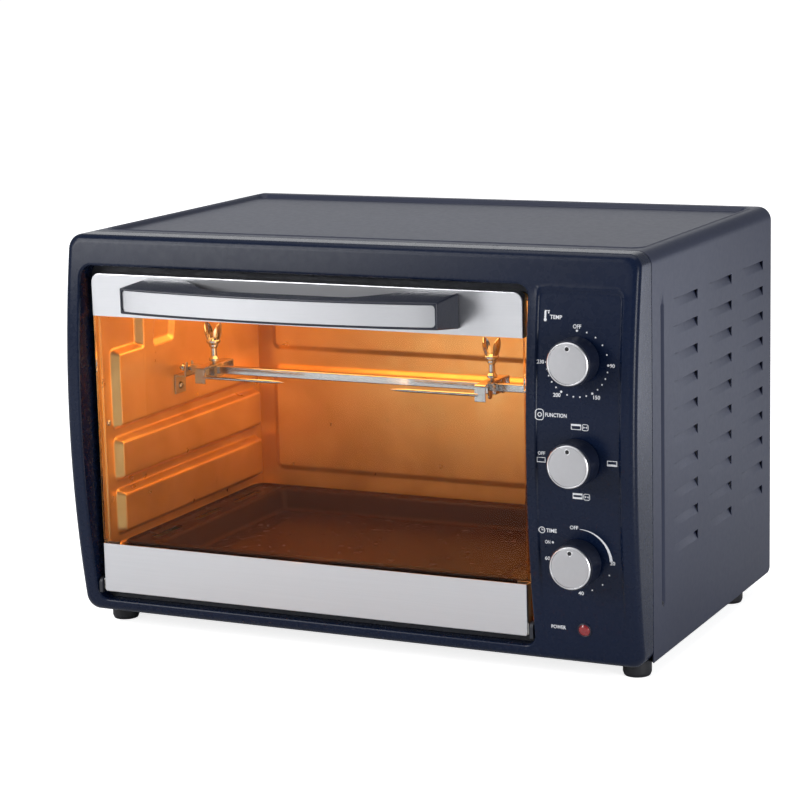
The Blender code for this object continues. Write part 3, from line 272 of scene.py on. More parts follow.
def cavity_sheet():
    """Aluminised sheet with the lamp's warm glow painted into its gold colour: satin, with rolling grain, cloudy heat
    tint and a few darker smears.
    """
    # Gold base colour: painted lamp glow on a silver aluminised sheet.
    colour = (0.72, 0.43, 0.15)
    f = Finish("cavity_sheet", colour, 0.36, 0.72)
    grain = f.noise(900, 4, (1, 0.04, 1), roughness=0.6)
    f.tint(f.noise(16, 5, distortion=0.6), (0.25, (0.62, 0.35, 0.11)), (0.5, colour), (0.75, (0.8, 0.5, 0.19)))
    f.vary_roughness(f.noise(55, 5), 0.27, 0.45)
    f.bump(grain, 0.02 * MM, 0.3).bump(f.noise(70, 3), 0.1 * MM, 0.15)
    return f.made


def tray_enamel():
    """Dark brown baking enamel: glossy, speckled, slightly wavy."""
    colour = (0.036, 0.0165, 0.0115)
    f = Finish("tray_enamel", colour, 0.24, 0.0, Specular_IOR_Level=0.05)
    f.tint(f.noise(900, 2), (0.3, (0.028, 0.0105, 0.0065)), (0.62, colour), (0.74, (0.075, 0.031, 0.019)))
    f.vary_roughness(f.noise(120, 3), 0.21, 0.28)
    f.bump(f.noise(60, 2), 0.02 * MM, 0.08)
    return f.made


def heater_steel():
    """Heat-stained stainless sheath, drifting from straw to blue along its length."""
    f = Finish("heater_steel", (0.3, 0.27, 0.24), 0.36, 1.0)
    f.tint(f.noise(22, 3, (1, 0.2, 0.2)), (0.3, (0.36, 0.28, 0.2)), (0.5, (0.3, 0.24, 0.22)),
           (0.7, (0.2, 0.21, 0.27)))
    f.vary_roughness(f.noise(300, 3), 0.28, 0.48)
    f.bump(f.noise(1400, 2), 0.01 * MM, 0.4)
    return f.made


def zinc_steel(name="zinc_steel"):
    """Zinc plating: soft grain with a faint yellow and blue bloom."""
    f = Finish(name, (0.5, 0.5, 0.49), 0.38, 1.0)
    f.tint(f.noise(45, 4), (0.3, (0.46, 0.47, 0.49)), (0.5, (0.53, 0.52, 0.5)), (0.7, (0.56, 0.54, 0.45)))
    f.vary_roughness(f.noise(260, 3), 0.28, 0.48)
    f.bump(f.noise(1500, 3), 0.015 * MM, 0.4)
    return f.made


def glass(name="door_glass_clear", colour=(0.97, 0.985, 0.98), roughness=0.0):
    """Clear tempered glass with very faint smears."""
    f = Finish(name, colour, roughness, 0.0, Transmission_Weight=1.0, IOR=1.15)
    f.vary_roughness(f.noise(9, 4, distortion=1.0), 0.0, 0.012, 0.45, 0.8)
    return f.made


def black_plastic(name="black_plastic", colour=(0.012, 0.0145, 0.028), low=0.3, high=0.42, specular=0.5):
    """Moulded black plastic with a fine spark-eroded grain."""
    f = Finish(name, colour, 0.36, Specular_IOR_Level=specular)
    f.tint(f.noise(90, 3), *shades(colour, 0.85, 1.0, 1.15))
    f.vary_roughness(f.noise(700, 2), low, high)
    f.bump(f.cells(2600), 0.012 * MM, 0.5)
    return f.made


def foot_plastic():
    return black_plastic("foot_plastic", (0.011, 0.0115, 0.016), 0.5, 0.65)


def red_lens():
    """Translucent red cap, lit from behind."""
    colour = (0.22, 0.008, 0.012)
    f = Finish("red_lens", colour, 0.18, Coat_Weight=0.8, Coat_Roughness=0.08, Transmission_Weight=0.25,
               Emission_Color=(0.9, 0.02, 0.03, 1.0), Emission_Strength=0.07)
    f.tint(f.noise(500, 2), *shades(colour, 0.8, 1.0, 1.2))
    f.bump(f.cells(1300), 0.03 * MM, 0.35)
    return f.made


def print_white():
    """Screen-printed legend, slightly uneven."""
    f = Finish("print_white", (0.72, 0.73, 0.76), 0.55)
    f.tint(f.noise(1200, 3), (0.3, (0.62, 0.63, 0.67)), (0.6, (0.76, 0.77, 0.8)))
    f.bump(f.noise(2200, 2), 0.01 * MM, 0.3)
    return f.made


def pointer_black():
    return black_plastic("pointer_black", (0.008, 0.008, 0.01), 0.3, 0.4)


def moulded_housing():
    return black_plastic("moulded_housing", (0.035, 0.036, 0.04), 0.4, 0.55)


def studio_floor():
    """Seamless pale floor with the faintest mottling, which shows near white to the camera."""
    f = Finish("studio_floor", (0.8, 0.8, 0.8), 0.75, Specular_IOR_Level=0.1, Emission_Color=(1, 1, 1, 1))
    f.tint(f.noise(3, 3), *shades((0.8, 0.8, 0.8), 0.995, 1.0, 1.005))
    f.bump(f.noise(40, 3), 0.1 * MM, 0.1)
    glow = f.nodes.new("ShaderNodeMath")
    glow.operation = "MULTIPLY"
    glow.inputs[1].default_value = FLOOR_GLOW
    f.links.new(f.nodes.new("ShaderNodeLightPath").outputs["Is Camera Ray"], glow.inputs[0])
    f.links.new(glow.outputs["Value"], f.shader.inputs["Emission Strength"])
    return f.made


# ---------------------------------------------------------------- mesh tools


def smoothstep(t):
    t = min(max(t, 0.0), 1.0)
    return t * t * (3 - 2 * t)


def lerp(a, b, t):
    return a + (b - a) * t


def filleted(points, closed=True, step=15):
    """An outline from (a, b, radius) points, with each corner that has a radius rounded off by an arc."""
    outline = []
    for i, (a, b, radius) in enumerate(points):
        here = Vector((a, b))
        if radius <= 0 or (not closed and i in (0, len(points) - 1)):
            outline.append((a, b))
            continue
        to_before = (Vector(points[i - 1][:2]) - here).normalized()
        to_after = (Vector(points[(i + 1) % len(points)][:2]) - here).normalized()
        half = to_before.angle(to_after) / 2
        centre = here + (to_before + to_after).normalized() * radius / math.sin(half)
        start = here + to_before * radius / math.tan(half) - centre
        end = here + to_after * radius / math.tan(half) - centre
        first = math.atan2(start.y, start.x)
        sweep = (math.atan2(end.y, end.x) - first + math.pi) % (2 * math.pi) - math.pi
        steps = max(2, round(math.degrees(abs(sweep)) / step))
        for k in range(steps + 1):
            angle = first + sweep * k / steps
            outline.append((centre.x + radius * math.cos(angle), centre.y + radius * math.sin(angle)))
    return outline


def rectangle(a_range, b_range, radius):
    """A rounded rectangle's (a, b, radius) points, anticlockwise from the low corner."""
    (a0, a1), (b0, b1) = a_range, b_range
    return [(a0, b0, radius), (a1, b0, radius), (a1, b1, radius), (a0, b1, radius)]


def loft(bm, rings, closed=True, capped=True):
    """Joins rings of points, one after another, into a surface. Capped ends close it."""
    loops = [[bm.verts.new(point) for point in ring] for ring in rings]
    count = len(loops[0])
    for near, far in zip(loops, loops[1:]):
        for i in range(count if closed else count - 1):
            j = (i + 1) % count
            bm.faces.new((near[i], near[j], far[j], far[i]))
    if capped:
        bm.faces.new(loops[0][::-1])
        bm.faces.new(loops[-1])
    return loops


def turn(bm, profile, segments=48, place=None, inner=False):
    """Turns (distance along local Y, radius) points about local Y. A radius of 0 closes an end."""
    rings = []
    for along, radius in profile:
        angles = [2 * math.pi * i / segments for i in range(segments)] if radius > 1e-9 else [0.0]
        rings.append([bm.verts.new((radius * math.sin(t), along, radius * math.cos(t))) for t in angles])
    pairs = list(zip(rings, rings[1:]))
    if inner:
        pairs.append((rings[-1], rings[0]))
    for lower, upper in pairs:
        for i in range(segments):
            j = (i + 1) % segments
            corners = [lower[i % len(lower)], lower[j % len(lower)], upper[j % len(upper)], upper[i % len(upper)]]
            bm.faces.new(list(dict.fromkeys(corners)))
    if not inner:
        for ring in (rings[0], rings[-1]):
            if len(ring) > 1:
                bm.faces.new(ring)
    if place:
        bmesh.ops.transform(bm, matrix=place, verts=[v for ring in rings for v in ring])
    return bm


def turned(profile, segments=48, place=None, inner=False):
    return turn(bmesh.new(), profile, segments, place, inner)


def extrude(bm, outline, axis, low, high):
    """A solid of an outline of the two other coordinates, between two places along an axis."""
    point = {"X": lambda a, b, t: (t, a, b), "Y": lambda a, b, t: (a, t, b), "Z": lambda a, b, t: (a, b, t)}[axis]
    return loft(bm, [[point(a, b, t) for a, b in outline] for t in (low, high)])


def extruded(outline, axis, low, high):
    bm = bmesh.new()
    extrude(bm, outline, axis, low, high)
    return bm


def block(low, high):
    return extruded([(low[0], low[1]), (high[0], low[1]), (high[0], high[1]), (low[0], high[1])], "Z", low[2], high[2])


def surface(height, us, vs):
    """A grid over us and vs, whose points are given by height(u, v)."""
    bm = bmesh.new()
    loft(bm, [[height(u, v) for v in vs] for u in us], closed=False, capped=False)
    return bm


def face_away(bm, inside):
    """Turns an open sheet's faces so that most of them look away from a point."""
    bmesh.ops.recalc_face_normals(bm, faces=bm.faces)
    looks = sum((f.calc_center_median() - Vector(inside)).normalized().dot(f.normal) * f.calc_area() for f in bm.faces)
    if looks < 0:
        bmesh.ops.reverse_faces(bm, faces=bm.faces)
    return bm


def add(name, bm, finish, body, stands_for=(), inside=None, thickness=0.0, bevel=0.0, segments=2,
        angle=35, cutters=(), place=None):
    """Makes a piece from a bmesh: sheets get their thickness, edges their bevel, and holes are cut last."""
    if inside is None:
        bmesh.ops.recalc_face_normals(bm, faces=bm.faces)
    else:
        face_away(bm, inside)
    made = bare_object(name, bm)
    made.data.materials.append(finish)
    if place is not None:
        made.matrix_world = Matrix.Translation(ORIGIN) @ place
    if thickness:
        solid = made.modifiers.new("sheet", "SOLIDIFY")
        solid.thickness = thickness
        solid.offset = -1.0
        solid.use_even_offset = True
    if bevel:
        edge = made.modifiers.new("edges", "BEVEL")
        edge.width = bevel
        edge.segments = segments
        edge.limit_method = "ANGLE"
        edge.angle_limit = math.radians(angle)
    settle(made, cutters, angle)
    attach(made, body)
    if stands_for:
        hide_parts(*([stands_for] if isinstance(stands_for, str) else stands_for))
    return made


def bare_object(name, bm):
    mesh = bpy.data.meshes.new(name)
    bm.to_mesh(mesh)
    bm.free()
    made = bpy.data.objects.new(name, mesh)
    made.location = ORIGIN
    bpy.context.scene.collection.objects.link(made)
    return made


def settle(made, cutters, angle):
    """Applies the piece's modifiers and cuts, shades it smooth between sharp edges, and keeps flat faces flat."""
    bpy.context.view_layer.update()
    holes = []
    for cutter in cutters:
        bmesh.ops.recalc_face_normals(cutter, faces=cutter.faces)
        hole = bare_object("cutter", cutter)
        hole.matrix_world = made.matrix_world
        change = made.modifiers.new("cut", "BOOLEAN")
        change.operation = "DIFFERENCE"
        change.solver = "EXACT"
        change.object = hole
        holes.append(hole)
    apply_modifiers(made)
    for hole in holes:
        bpy.data.objects.remove(hole)
    made.data.shade_smooth()
    made.data.set_sharp_from_angle(angle=math.radians(angle))
    even = made.modifiers.new("flat faces", "WEIGHTED_NORMAL")
    even.keep_sharp = True
    apply_modifiers(made)


def apply_modifiers(made):
    bpy.context.view_layer.update()
    mesh = bpy.data.meshes.new_from_object(made.evaluated_get(bpy.context.evaluated_depsgraph_get()))
    mesh.name = made.name
    made.modifiers.clear()
    made.data = mesh


def along_x(x, y, z):
    """A place whose local Y runs along +X."""
    return Matrix.Translation((x, y, z)) @ Matrix.Rotation(math.radians(-90), 4, "Z")


def along_z(x, y, z):
    """A place whose local Y runs along +Z."""
    return Matrix.Translation((x, y, z)) @ Matrix.Rotation(math.radians(90), 4, "X")


def frange(low, high, steps):
    return [low + (high - low) * k / steps for k in range(steps + 1)]


def merged(*lists):
    """One rising list of stations, without near doubles."""
    result = []
    for value in sorted(v for values in lists for v in values):
        if not result or value - result[-1] > 0.05 * MM:
            result.append(value)
    return result


def inside_rectangle(a, b, a_range, b_range, radius):
    """How deep a point lies inside a rounded rectangle; negative outside it."""
    dx = abs(a - sum(a_range) / 2) - (a_range[1] - a_range[0]) / 2 + radius
    dy = abs(b - sum(b_range) / 2) - (b_range[1] - b_range[0]) / 2 + radius
    return radius - math.hypot(max(dx, 0), max(dy, 0)) - min(max(dx, dy), 0)


# ---------------------------------------------------------------- casing


LOUVER_REAR_Y = (111 * MM, 201 * MM, 290 * MM)
LOUVER_TOP_Z = 292.5 * MM
LOUVER_PITCH = 22.85 * MM
LOUVER_LENGTH = 61 * MM
LOUVER_HEIGHT = 8.8 * MM
LOUVER_DEPTH = 3.4 * MM
GROOVE_Y = 24 * MM
GROOVE_Z = (45.5 * MM, 290.5 * MM)


def louver_at(y, z):
    """Which louver a cell's middle lies in, as (rear edge, top edge), or None."""
    for rear in LOUVER_REAR_Y:
        if rear - LOUVER_LENGTH < y < rear:
            row = round((LOUVER_TOP_Z - LOUVER_HEIGHT / 2 - z) / LOUVER_PITCH)
            top = LOUVER_TOP_Z - row * LOUVER_PITCH
            if 0 <= row < 10 and top - LOUVER_HEIGHT < z < top:
                return rear, top
    return None


def groove_depth(y, z):
    """The upright pressed groove near the front of each side."""
    nearest = min(max(z, GROOVE_Z[0]), GROOVE_Z[1])
    away = math.hypot(y - GROOVE_Y, z - nearest)
    return 2.0 * MM * smoothstep(1.15 - away / (3.6 * MM))


def top_drop(x, y):
    """How far the pressed middle of the top lies below its raised border."""
    deep = inside_rectangle(x, y, (-HALF_WIDTH + 15.5 * MM, HALF_WIDTH - 15.5 * MM), (15 * MM, DEPTH - 15.5 * MM), 9 * MM)
    lip = 0.7 * MM * smoothstep(1 - abs(deep + 1.6 * MM) / (1.9 * MM))
    return 3.2 * MM * smoothstep(deep / (4.5 * MM)) - lip


def wrap_casing():
    """The one-piece wrap: sides with lanced louvers and a groove, rolled corners and a pressed top."""
    louver_ys = [rear - LOUVER_LENGTH * (1 - k / 12) for rear in LOUVER_REAR_Y for k in range(13)]
    louver_zs = [LOUVER_TOP_Z - row * LOUVER_PITCH - LOUVER_HEIGHT * k / 6 for row in range(10) for k in range(7)]
    ys = merged([GAP, 0.9 * MM, 2 * MM, 6 * MM], frange(11.5 * MM, 32 * MM, 24), louver_ys,
                [125 * MM, 134 * MM, 210 * MM, 221 * MM], frange(294 * MM, 306 * MM, 14),
                [309 * MM, 312 * MM, DEPTH - 1.2 * MM, DEPTH - 0.4 * MM, DEPTH])
    zs = merged(frange(0, 40 * MM, 10), frange(41 * MM, 47 * MM, 6), louver_zs,
                frange(300 * MM, HEIGHT - CORNER, 6))
    edge = HALF_WIDTH - CORNER
    xs = merged(frange(edge - 12 * MM, edge, 20), frange(-edge, 12 * MM - edge, 20),
                frange(12 * MM - edge, edge - 12 * MM, 16))
    angles = [math.radians(90 * k / 10) for k in range(1, 10)]

    def side_point(side, y, z, sunk=0.0):
        corner_z = 8 * MM - math.sqrt(max((8 * MM) ** 2 - max(y - DEPTH + 8 * MM, 0) ** 2, 0))
        lifted = corner_z + z * (20 * MM - corner_z) / (20 * MM) if z < 20 * MM else z
        rolled = 1.1 * MM * max(1 - (DEPTH - y) / (1.2 * MM), 0) ** 2
        return side * (HALF_WIDTH - sunk - rolled - groove_depth(y, z)), y, lifted

    def corner_point(side, y, angle):
        rolled = 1.1 * MM * max(1 - (DEPTH - y) / (1.2 * MM), 0) ** 2
        reach = CORNER - rolled
        return side * (edge + reach * math.cos(angle)), y, HEIGHT - CORNER + reach * math.sin(angle)

    def top_point(x, y):
        rolled = 1.1 * MM * max(1 - (DEPTH - y) / (1.2 * MM), 0) ** 2
        return x, y, HEIGHT - rolled - top_drop(x, y)

    bm = bmesh.new()
    columns = {}
    for i, y in enumerate(ys):
        column = [bm.verts.new(side_point(-1, y, z)) for z in zs]
        column += [bm.verts.new(corner_point(-1, y, a)) for a in angles]
        column += [bm.verts.new(top_point(x, y)) for x in xs]
        column += [bm.verts.new(corner_point(1, y, a)) for a in reversed(angles)]
        column += [bm.verts.new(side_point(1, y, z)) for z in reversed(zs)]
        columns[i] = column
    flap = {}

    def flap_corner(side, i, j, louver):
        """A flap shares its front and bottom edges with the sheet, and its other points bend inwards."""
        rear, top = louver
        y, z = ys[i], zs[j]
        along = (y - rear + LOUVER_LENGTH) / LOUVER_LENGTH
        up = (z - top + LOUVER_HEIGHT) / LOUVER_HEIGHT
        index = j if side < 0 else len(columns[i]) - 1 - j
        if along < 0.01 or up < 0.01:
            return columns[i][index]
        key = (side, i, j)
        if key not in flap:
            y -= 0.35 * MM * (along > 0.99)
            z -= 0.35 * MM * (up > 0.99)
            sunk = LOUVER_DEPTH * along ** 1.2 * up
            flap[key] = bm.verts.new(side_point(side, y, z, sunk))
        return flap[key]

    count = len(columns[0])
    for i in range(len(ys) - 1):
        for k in range(count - 1):
            side = -1 if k < len(zs) - 1 else (1 if k >= count - len(zs) else 0)
            louver = None
            if side:
                j = k if side < 0 else count - 2 - k
                louver = louver_at((ys[i] + ys[i + 1]) / 2, (zs[j] + zs[j + 1]) / 2)
            if louver:
                bm.faces.new([flap_corner(side, m, n, louver) for m, n in ((i, j), (i + 1, j), (i + 1, j + 1), (i, j + 1))])
            else:
                bm.faces.new((columns[i][k], columns[i + 1][k], columns[i + 1][k + 1], columns[i][k + 1]))
    return add("casing_wrap", bm, FINISHES["casing_paint"], "housing", "wrap_casing",
               inside=(0, DEPTH / 2, HEIGHT / 2), thickness=0.9 * MM, angle=40)


def fascia_y(z):
    """The fascia's front, an arc from bottom to top."""
    return FASCIA_CREST_Y + FASCIA_RADIUS - math.sqrt(FASCIA_RADIUS**2 - (z - FASCIA_CREST_Z) ** 2)


def panel_depth(x, z):
    """The shallow pressed field round the controls, which fades out near the bottom."""
    deep = inside_rectangle(x, z, (180 * MM, 252.5 * MM), (-60 * MM, 309 * MM), 6 * MM)
    fade = smoothstep((z - 22 * MM) / (70 * MM))
    lip = 0.55 * MM * smoothstep(1 - abs(deep + 1.0 * MM) / (1.3 * MM))
    return (1.2 * MM * smoothstep(deep / (1.7 * MM)) - lip) * fade


def panel_y(x, z):
    return fascia_y(z) + panel_depth(x, z)


def side_stations(low, high, count):
    return [lerp(low, high, k / count) for k in range(count)]


def frame_loop(x_range, z_range, radius, counts):
    """A rounded rectangle with set numbers of points on its bottom, right, top and left, so that loops match."""
    (x0, x1), (z0, z1) = x_range, z_range
    corners = ((x1 - radius, z0 + radius, -90), (x1 - radius, z1 - radius, 0), (x0 + radius, z1 - radius, 90),
               (x0 + radius, z0 + radius, 180))
    starts = ((x0 + radius, z0), (x1, z0 + radius), (x1 - radius, z1), (x0, z1 - radius))
    ends = ((x1 - radius, z0), (x1, z1 - radius), (x0 + radius, z1), (x0, z0 + radius))
    loop = []
    for (centre_x, centre_z, first), start, end, count in zip(corners, starts, ends, counts):
        loop += [(lerp(start[0], end[0], k / count), lerp(start[1], end[1], k / count)) for k in range(count)]
        for k in range(8):
            angle = math.radians(first + 90 * k / 8)
            loop.append((centre_x + radius * math.cos(angle), centre_z + radius * math.sin(angle)))
    return loop


def front_fascia():
    """One moulded shell: outer side, front fillet, bowed front with the control field, and the door's recess."""
    counts = (60, 190, 60, 60)
    full = ((-HALF_WIDTH, HALF_WIDTH), (0.0, HEIGHT))

    def outer(inset):
        return frame_loop((full[0][0] + inset, full[0][1] - inset), (full[1][0] + inset, full[1][1] - inset),
                          max(CORNER - inset * 0.5, 3 * MM), counts)

    def inner(outset):
        return frame_loop((RECESS_X[0] - outset, RECESS_X[1] + outset), (RECESS_Z[0] - outset, RECESS_Z[1] + outset),
                          RECESS_RADIUS + outset, counts)

    rings = [[(x, 0.0, z) for x, z in outer(0.6 * MM)], [(x, -0.5 * MM, z) for x, z in outer(0.1 * MM)],
             [(x, -1.2 * MM, z) for x, z in outer(0.0)]]
    for share in (0.35, 0.7):
        rings.append([(x, lerp(-1.2 * MM, fascia_y(z) + FASCIA_FILLET, share), z) for x, z in outer(0.0)])
    for k in range(9):
        angle = math.radians(90 * k / 8)
        inset = FASCIA_FILLET * (1 - math.cos(angle))
        rings.append([(x, fascia_y(z) + FASCIA_FILLET * (1 - math.sin(angle)), z) for x, z in outer(inset)])
    edge = 2.2 * MM
    first, last = outer(FASCIA_FILLET), inner(edge)
    width = HALF_WIDTH - FASCIA_FILLET - RECESS_X[1] - edge
    bands = merged(frange(0, width, 22), frange(width - (253.5 * MM - RECESS_X[1] - edge), width - (249 * MM - RECESS_X[1] - edge), 8),
                   frange(width - (183.5 * MM - RECESS_X[1] - edge), width - (179 * MM - RECESS_X[1] - edge), 8))
    for band in bands[1:]:
        share = band / width
        points = [(lerp(a[0], b[0], share), lerp(a[1], b[1], share)) for a, b in zip(first, last)]
        rings.append([(x, panel_y(x, z), z) for x, z in points])
    for k in range(1, 7):
        angle = math.radians(90 * k / 6)
        rings.append([(x, fascia_y(z) + edge * (1 - math.cos(angle)), z) for x, z in inner(edge * (1 - math.sin(angle)))])
    for share in (0.4, 0.8, 1.0):
        rings.append([(x, lerp(fascia_y(z) + edge, -0.3 * MM, share), z) for x, z in inner(0.0)])
    bm = bmesh.new()
    loft(bm, rings, capped=False)
    return add("fascia_moulding", bm, FINISHES["navy_paint"], "housing", "front_fascia",
               inside=(0, 2.0, HEIGHT / 2), thickness=FASCIA_WALL, angle=50)


def front_frame():
    """Dark flange behind the door, and the cavity's lip with a raised sealing bead, its gold colour painted lamp glow.
    """
    mouth_x = (WALL_LEFT_X, WALL_RIGHT_X)
    mouth_z = (CAVITY_FLOOR_Z, 299 * MM)
    front, back = RECESS_LOW.y, RECESS_HIGH.y
    counts = (6, 6, 6, 6)

    def ring(outset, y):
        grown_x = (mouth_x[0] - outset * MM, mouth_x[1] + outset * MM)
        grown_z = (mouth_z[0] - outset * MM, mouth_z[1] + outset * MM)
        return [(x, y, z) for x, z in frame_loop(grown_x, grown_z, (4 + outset) * MM, counts)]

    rim = frame_loop((RECESS_LOW.x, RECESS_HIGH.x), (RECESS_LOW.z, RECESS_HIGH.z), RECESS_RADIUS - GAP, counts)
    flange = [[(x, y, z) for x, z in rim] for y in (back, front)] + [ring(3.6, front), ring(3.6, back)]
    lip = [ring(3.5, back), ring(3.5, front), ring(3.3, front - 1.2 * MM), ring(2.8, front - 1.6 * MM),
           ring(2.0, front - 1.6 * MM), ring(1.4, front - 1.2 * MM), ring(1.0, front), ring(0.3, front + 0.3 * MM),
           ring(0, back - 0.1 * MM), ring(0, back)]
    for name, rings, finish, node in (("mouth_flange", flange, "dark_sheet", "front_frame"),
                                      ("mouth_lip", lip, "cavity_sheet", ())):
        bm = bmesh.new()
        loft(bm, rings + rings[:1], capped=False)
        bmesh.ops.remove_doubles(bm, verts=bm.verts, dist=0.01 * MM)
        add(name, bm, FINISHES[finish], "housing", node, angle=30)
    glass_z = (DOOR_BOTTOM_HIGH.z + 1.5 * MM, DOOR_TOP_LOW.z - 1.5 * MM)
    glass_back = span("door_glass")[1].y
    # Upright stops beside the mouth, in the cavity sheet: their gold is painted lamp glow.
    for side, x in (("left", mouth_x[0] - 2.4 * MM), ("right", mouth_x[1] + 2.4 * MM)):
        stop = extruded([(x - 1.1 * MM, glass_z[0]), (x + 1.1 * MM, glass_z[0]), (x + 1.1 * MM, glass_z[1]),
                         (x - 1.1 * MM, glass_z[1])], "Y", glass_back + 0.5 * MM, front)
        add(f"mouth_stop_{side}", stop, FINISHES["cavity_sheet"], "housing", bevel=0.5 * MM)


def screw_head(bm, radius, height, place, reach=0.0):
    """A pan-head screw with a cross recess, its shank running along local -Y from the seat at y = 0."""
    crown = filleted([(-reach, 0, 0), (-reach, radius * 0.45, 0), (0.0, radius * 0.45, 0), (0.0, radius, 0),
                      (height * 0.45, radius, height * 0.4), (height, radius * 0.55, height * 0.4)], closed=False)
    dip = height * 0.55
    crown += [(height, radius * 0.3), (height - dip, radius * 0.12), (height - dip, 0)]
    return turn(bm, crown, 24, place)


def cross_cutter(radius, height, place):
    """Two crossed bars that sink a cross into a screw's crown."""
    bars = []
    for wide, deep in ((radius * 0.62, radius * 0.13), (radius * 0.13, radius * 0.62)):
        bar = extruded([(-wide, -deep), (wide, -deep), (wide, deep), (-wide, deep)], "Y", height * 0.45, height * 2)
        bmesh.ops.transform(bar, matrix=place, verts=bar.verts)
        bars.append(bar)
    return bars


def add_screw(name, body, radius, height, place, stands_for=(), finish="zinc_steel", reach=0.0):
    bm = screw_head(bmesh.new(), radius, height, place, reach)
    return add(name, bm, FINISHES[finish], body, stands_for, angle=30,
               cutters=cross_cutter(radius, height, place))


def slot_cutter(a_range, b_range, axis, low, high, radius):
    return extruded(filleted(rectangle(a_range, b_range, radius), step=30), axis, low, high)


def rear_cover():
    """Pressed back: a raised field, three rows of round-ended vents, a flange and its screws."""
    low, high = span("rear_cover")
    front = high.y - SHEET
    field_x, field_z = (-225 * MM, 225 * MM), (66 * MM, 312 * MM)
    counts = (40, 40, 40, 40)

    def ring(inset, radius, y):
        return [(x, y, z) for x, z in frame_loop((low.x + inset, high.x - inset), (low.z + inset, high.z - inset), radius, counts)]

    def field(inset, y):
        grown = ((field_x[0] + inset, field_x[1] - inset), (field_z[0] + inset, field_z[1] - inset))
        return [(x, y, z) for x, z in frame_loop(grown[0], grown[1], 14 * MM - inset, counts)]

    rings = [ring(0, 10.7 * MM, front - 6 * MM), ring(0, 10.7 * MM, high.y - 1.2 * MM), ring(0.35 * MM, 10.4 * MM, high.y - 0.35 * MM),
             ring(1.2 * MM, 9.5 * MM, high.y), field(0, high.y), field(1.0 * MM, high.y - 0.3 * MM),
             field(3 * MM, high.y - 1.5 * MM), field(4 * MM, high.y - 1.8 * MM)]
    bm = bmesh.new()
    loops = loft(bm, rings, capped=False)
    bm.faces.new(loops[-1])
    vents = [slot_cutter((-200 * MM + 52 * MM * column, -164 * MM + 52 * MM * column),
                         (250 * MM + 16 * MM * row, 255 * MM + 16 * MM * row), "Y", high.y - 12 * MM, high.y + 5 * MM, 2.45 * MM)
             for column in range(8) for row in range(3)]
    joined = bmesh.new()
    for vent in vents:
        mesh = bpy.data.meshes.new("vent")
        vent.to_mesh(mesh)
        vent.free()
        joined.from_mesh(mesh)
        bpy.data.meshes.remove(mesh)
    gland = turned([(high.y - 12 * MM, 7.4 * MM), (high.y + 5 * MM, 7.4 * MM)], 32, Matrix.Translation((220 * MM, 0, 40 * MM)))
    add("back_cover", bm, FINISHES["dark_sheet"], "housing", "rear_cover", inside=(0, 0, HEIGHT / 2),
        thickness=0.8 * MM, cutters=(joined, gland), angle=30)
    heights = (28 * MM, HEIGHT / 2, 322 * MM)
    spots = [(side * 247 * MM, z) for side in (-1, 1) for z in heights] + [(0, 326 * MM), (0, 26 * MM)]
    for number, (x, z) in enumerate(spots, 1):
        add_screw(f"back_cover_screw_{number}", "housing", 3.4 * MM, 1.7 * MM, Matrix.Translation((x, high.y, z)))


def base_pan():
    low, high = span("base_pan")
    bm = block(low, high)
    vents = bmesh.new()
    for column in range(4):
        outline = filleted(rectangle((185 * MM + 16 * MM * column, 190 * MM + 16 * MM * column), (70 * MM, 210 * MM),
                                     2.45 * MM), step=30)
        extrude(vents, outline, "Z", -5 * MM, 5 * MM)
    add("bottom_pan", bm, FINISHES["dark_sheet"], "housing", "base_pan", cutters=(vents,), bevel=0.2 * MM)


def feet():
    """Moulded feet: a slight taper, a rounded tread and a shallow recess in the middle."""
    for depth in ("front", "rear"):
        for side in ("left", "right"):
            node = f"foot_{depth}_{side}"
            low, high = span(node)
            centre = (low + high) / 2
            radius, height = (high.x - low.x) / 2, high.z - low.z
            profile = filleted([(0.4 * MM, 0, 0), (0.4 * MM, 4 * MM, 0), (0, 5.5 * MM, 0.3 * MM), (0, radius - 1.2 * MM, 0.9 * MM),
                                (3.2 * MM, radius, 1.2 * MM), (height, radius, 0), (height, 0, 0)], closed=False)
            add(f"{node}_moulding", turned(profile, 48, along_z(centre.x, centre.y, low.z)), FINISHES["foot_plastic"],
                "housing", node, angle=40)


def side_screws():
    for side, name in ((-1, "left"), (1, "right")):
        place = Matrix.Translation((side * (HALF_WIDTH - 1.9 * MM), GROOVE_Y, 43 * MM))
        place = place @ Matrix.Rotation(math.radians(-90 * side), 4, "Z")
        add_screw(f"side_screw_{name}_head", "housing", 3.3 * MM, 1.9 * MM, place, f"side_screw_{name}",
                  "dark_sheet", reach=4 * MM)


# ---------------------------------------------------------------- door


def rail_piece(name, node, near_z, far_z, corner):
    """A folded channel: the face, rounded outer corners, and a flange bent back round three edges."""
    grow = 1 if far_z > near_z else -1
    bend = 1.1 * MM

    def path(inset, y):
        radius = max(corner - inset, 0.2 * MM)
        x0, x1, z1 = DOOR_X[0] + inset, DOOR_X[1] - inset, far_z - grow * inset
        points = filleted([(x0, near_z, 0), (x0, z1, radius), (x1, z1, radius), (x1, near_z, 0)], closed=False, step=9)
        return [(x, y, z) for x, z in points]

    rings = [path(12 * MM, DOOR_BACK_Y), path(bend, DOOR_BACK_Y), path(0.3 * bend, DOOR_BACK_Y - 0.3 * bend),
             path(0.0, DOOR_BACK_Y - bend), path(0.0, lerp(DOOR_BACK_Y, DOOR_FRONT_Y, 0.5))]
    for k in range(6):
        angle = math.radians(90 * k / 5)
        rings.append(path(bend * (1 - math.cos(angle)), DOOR_FRONT_Y + bend * (1 - math.sin(angle))))
    bm = bmesh.new()
    loops = loft(bm, rings, closed=False, capped=False)
    bm.faces.new(loops[-1])
    return add(name, bm, FINISHES["brushed_steel"], "door", node, inside=(0, 2.0, (near_z + far_z) / 2),
               thickness=0.8 * MM, angle=30)


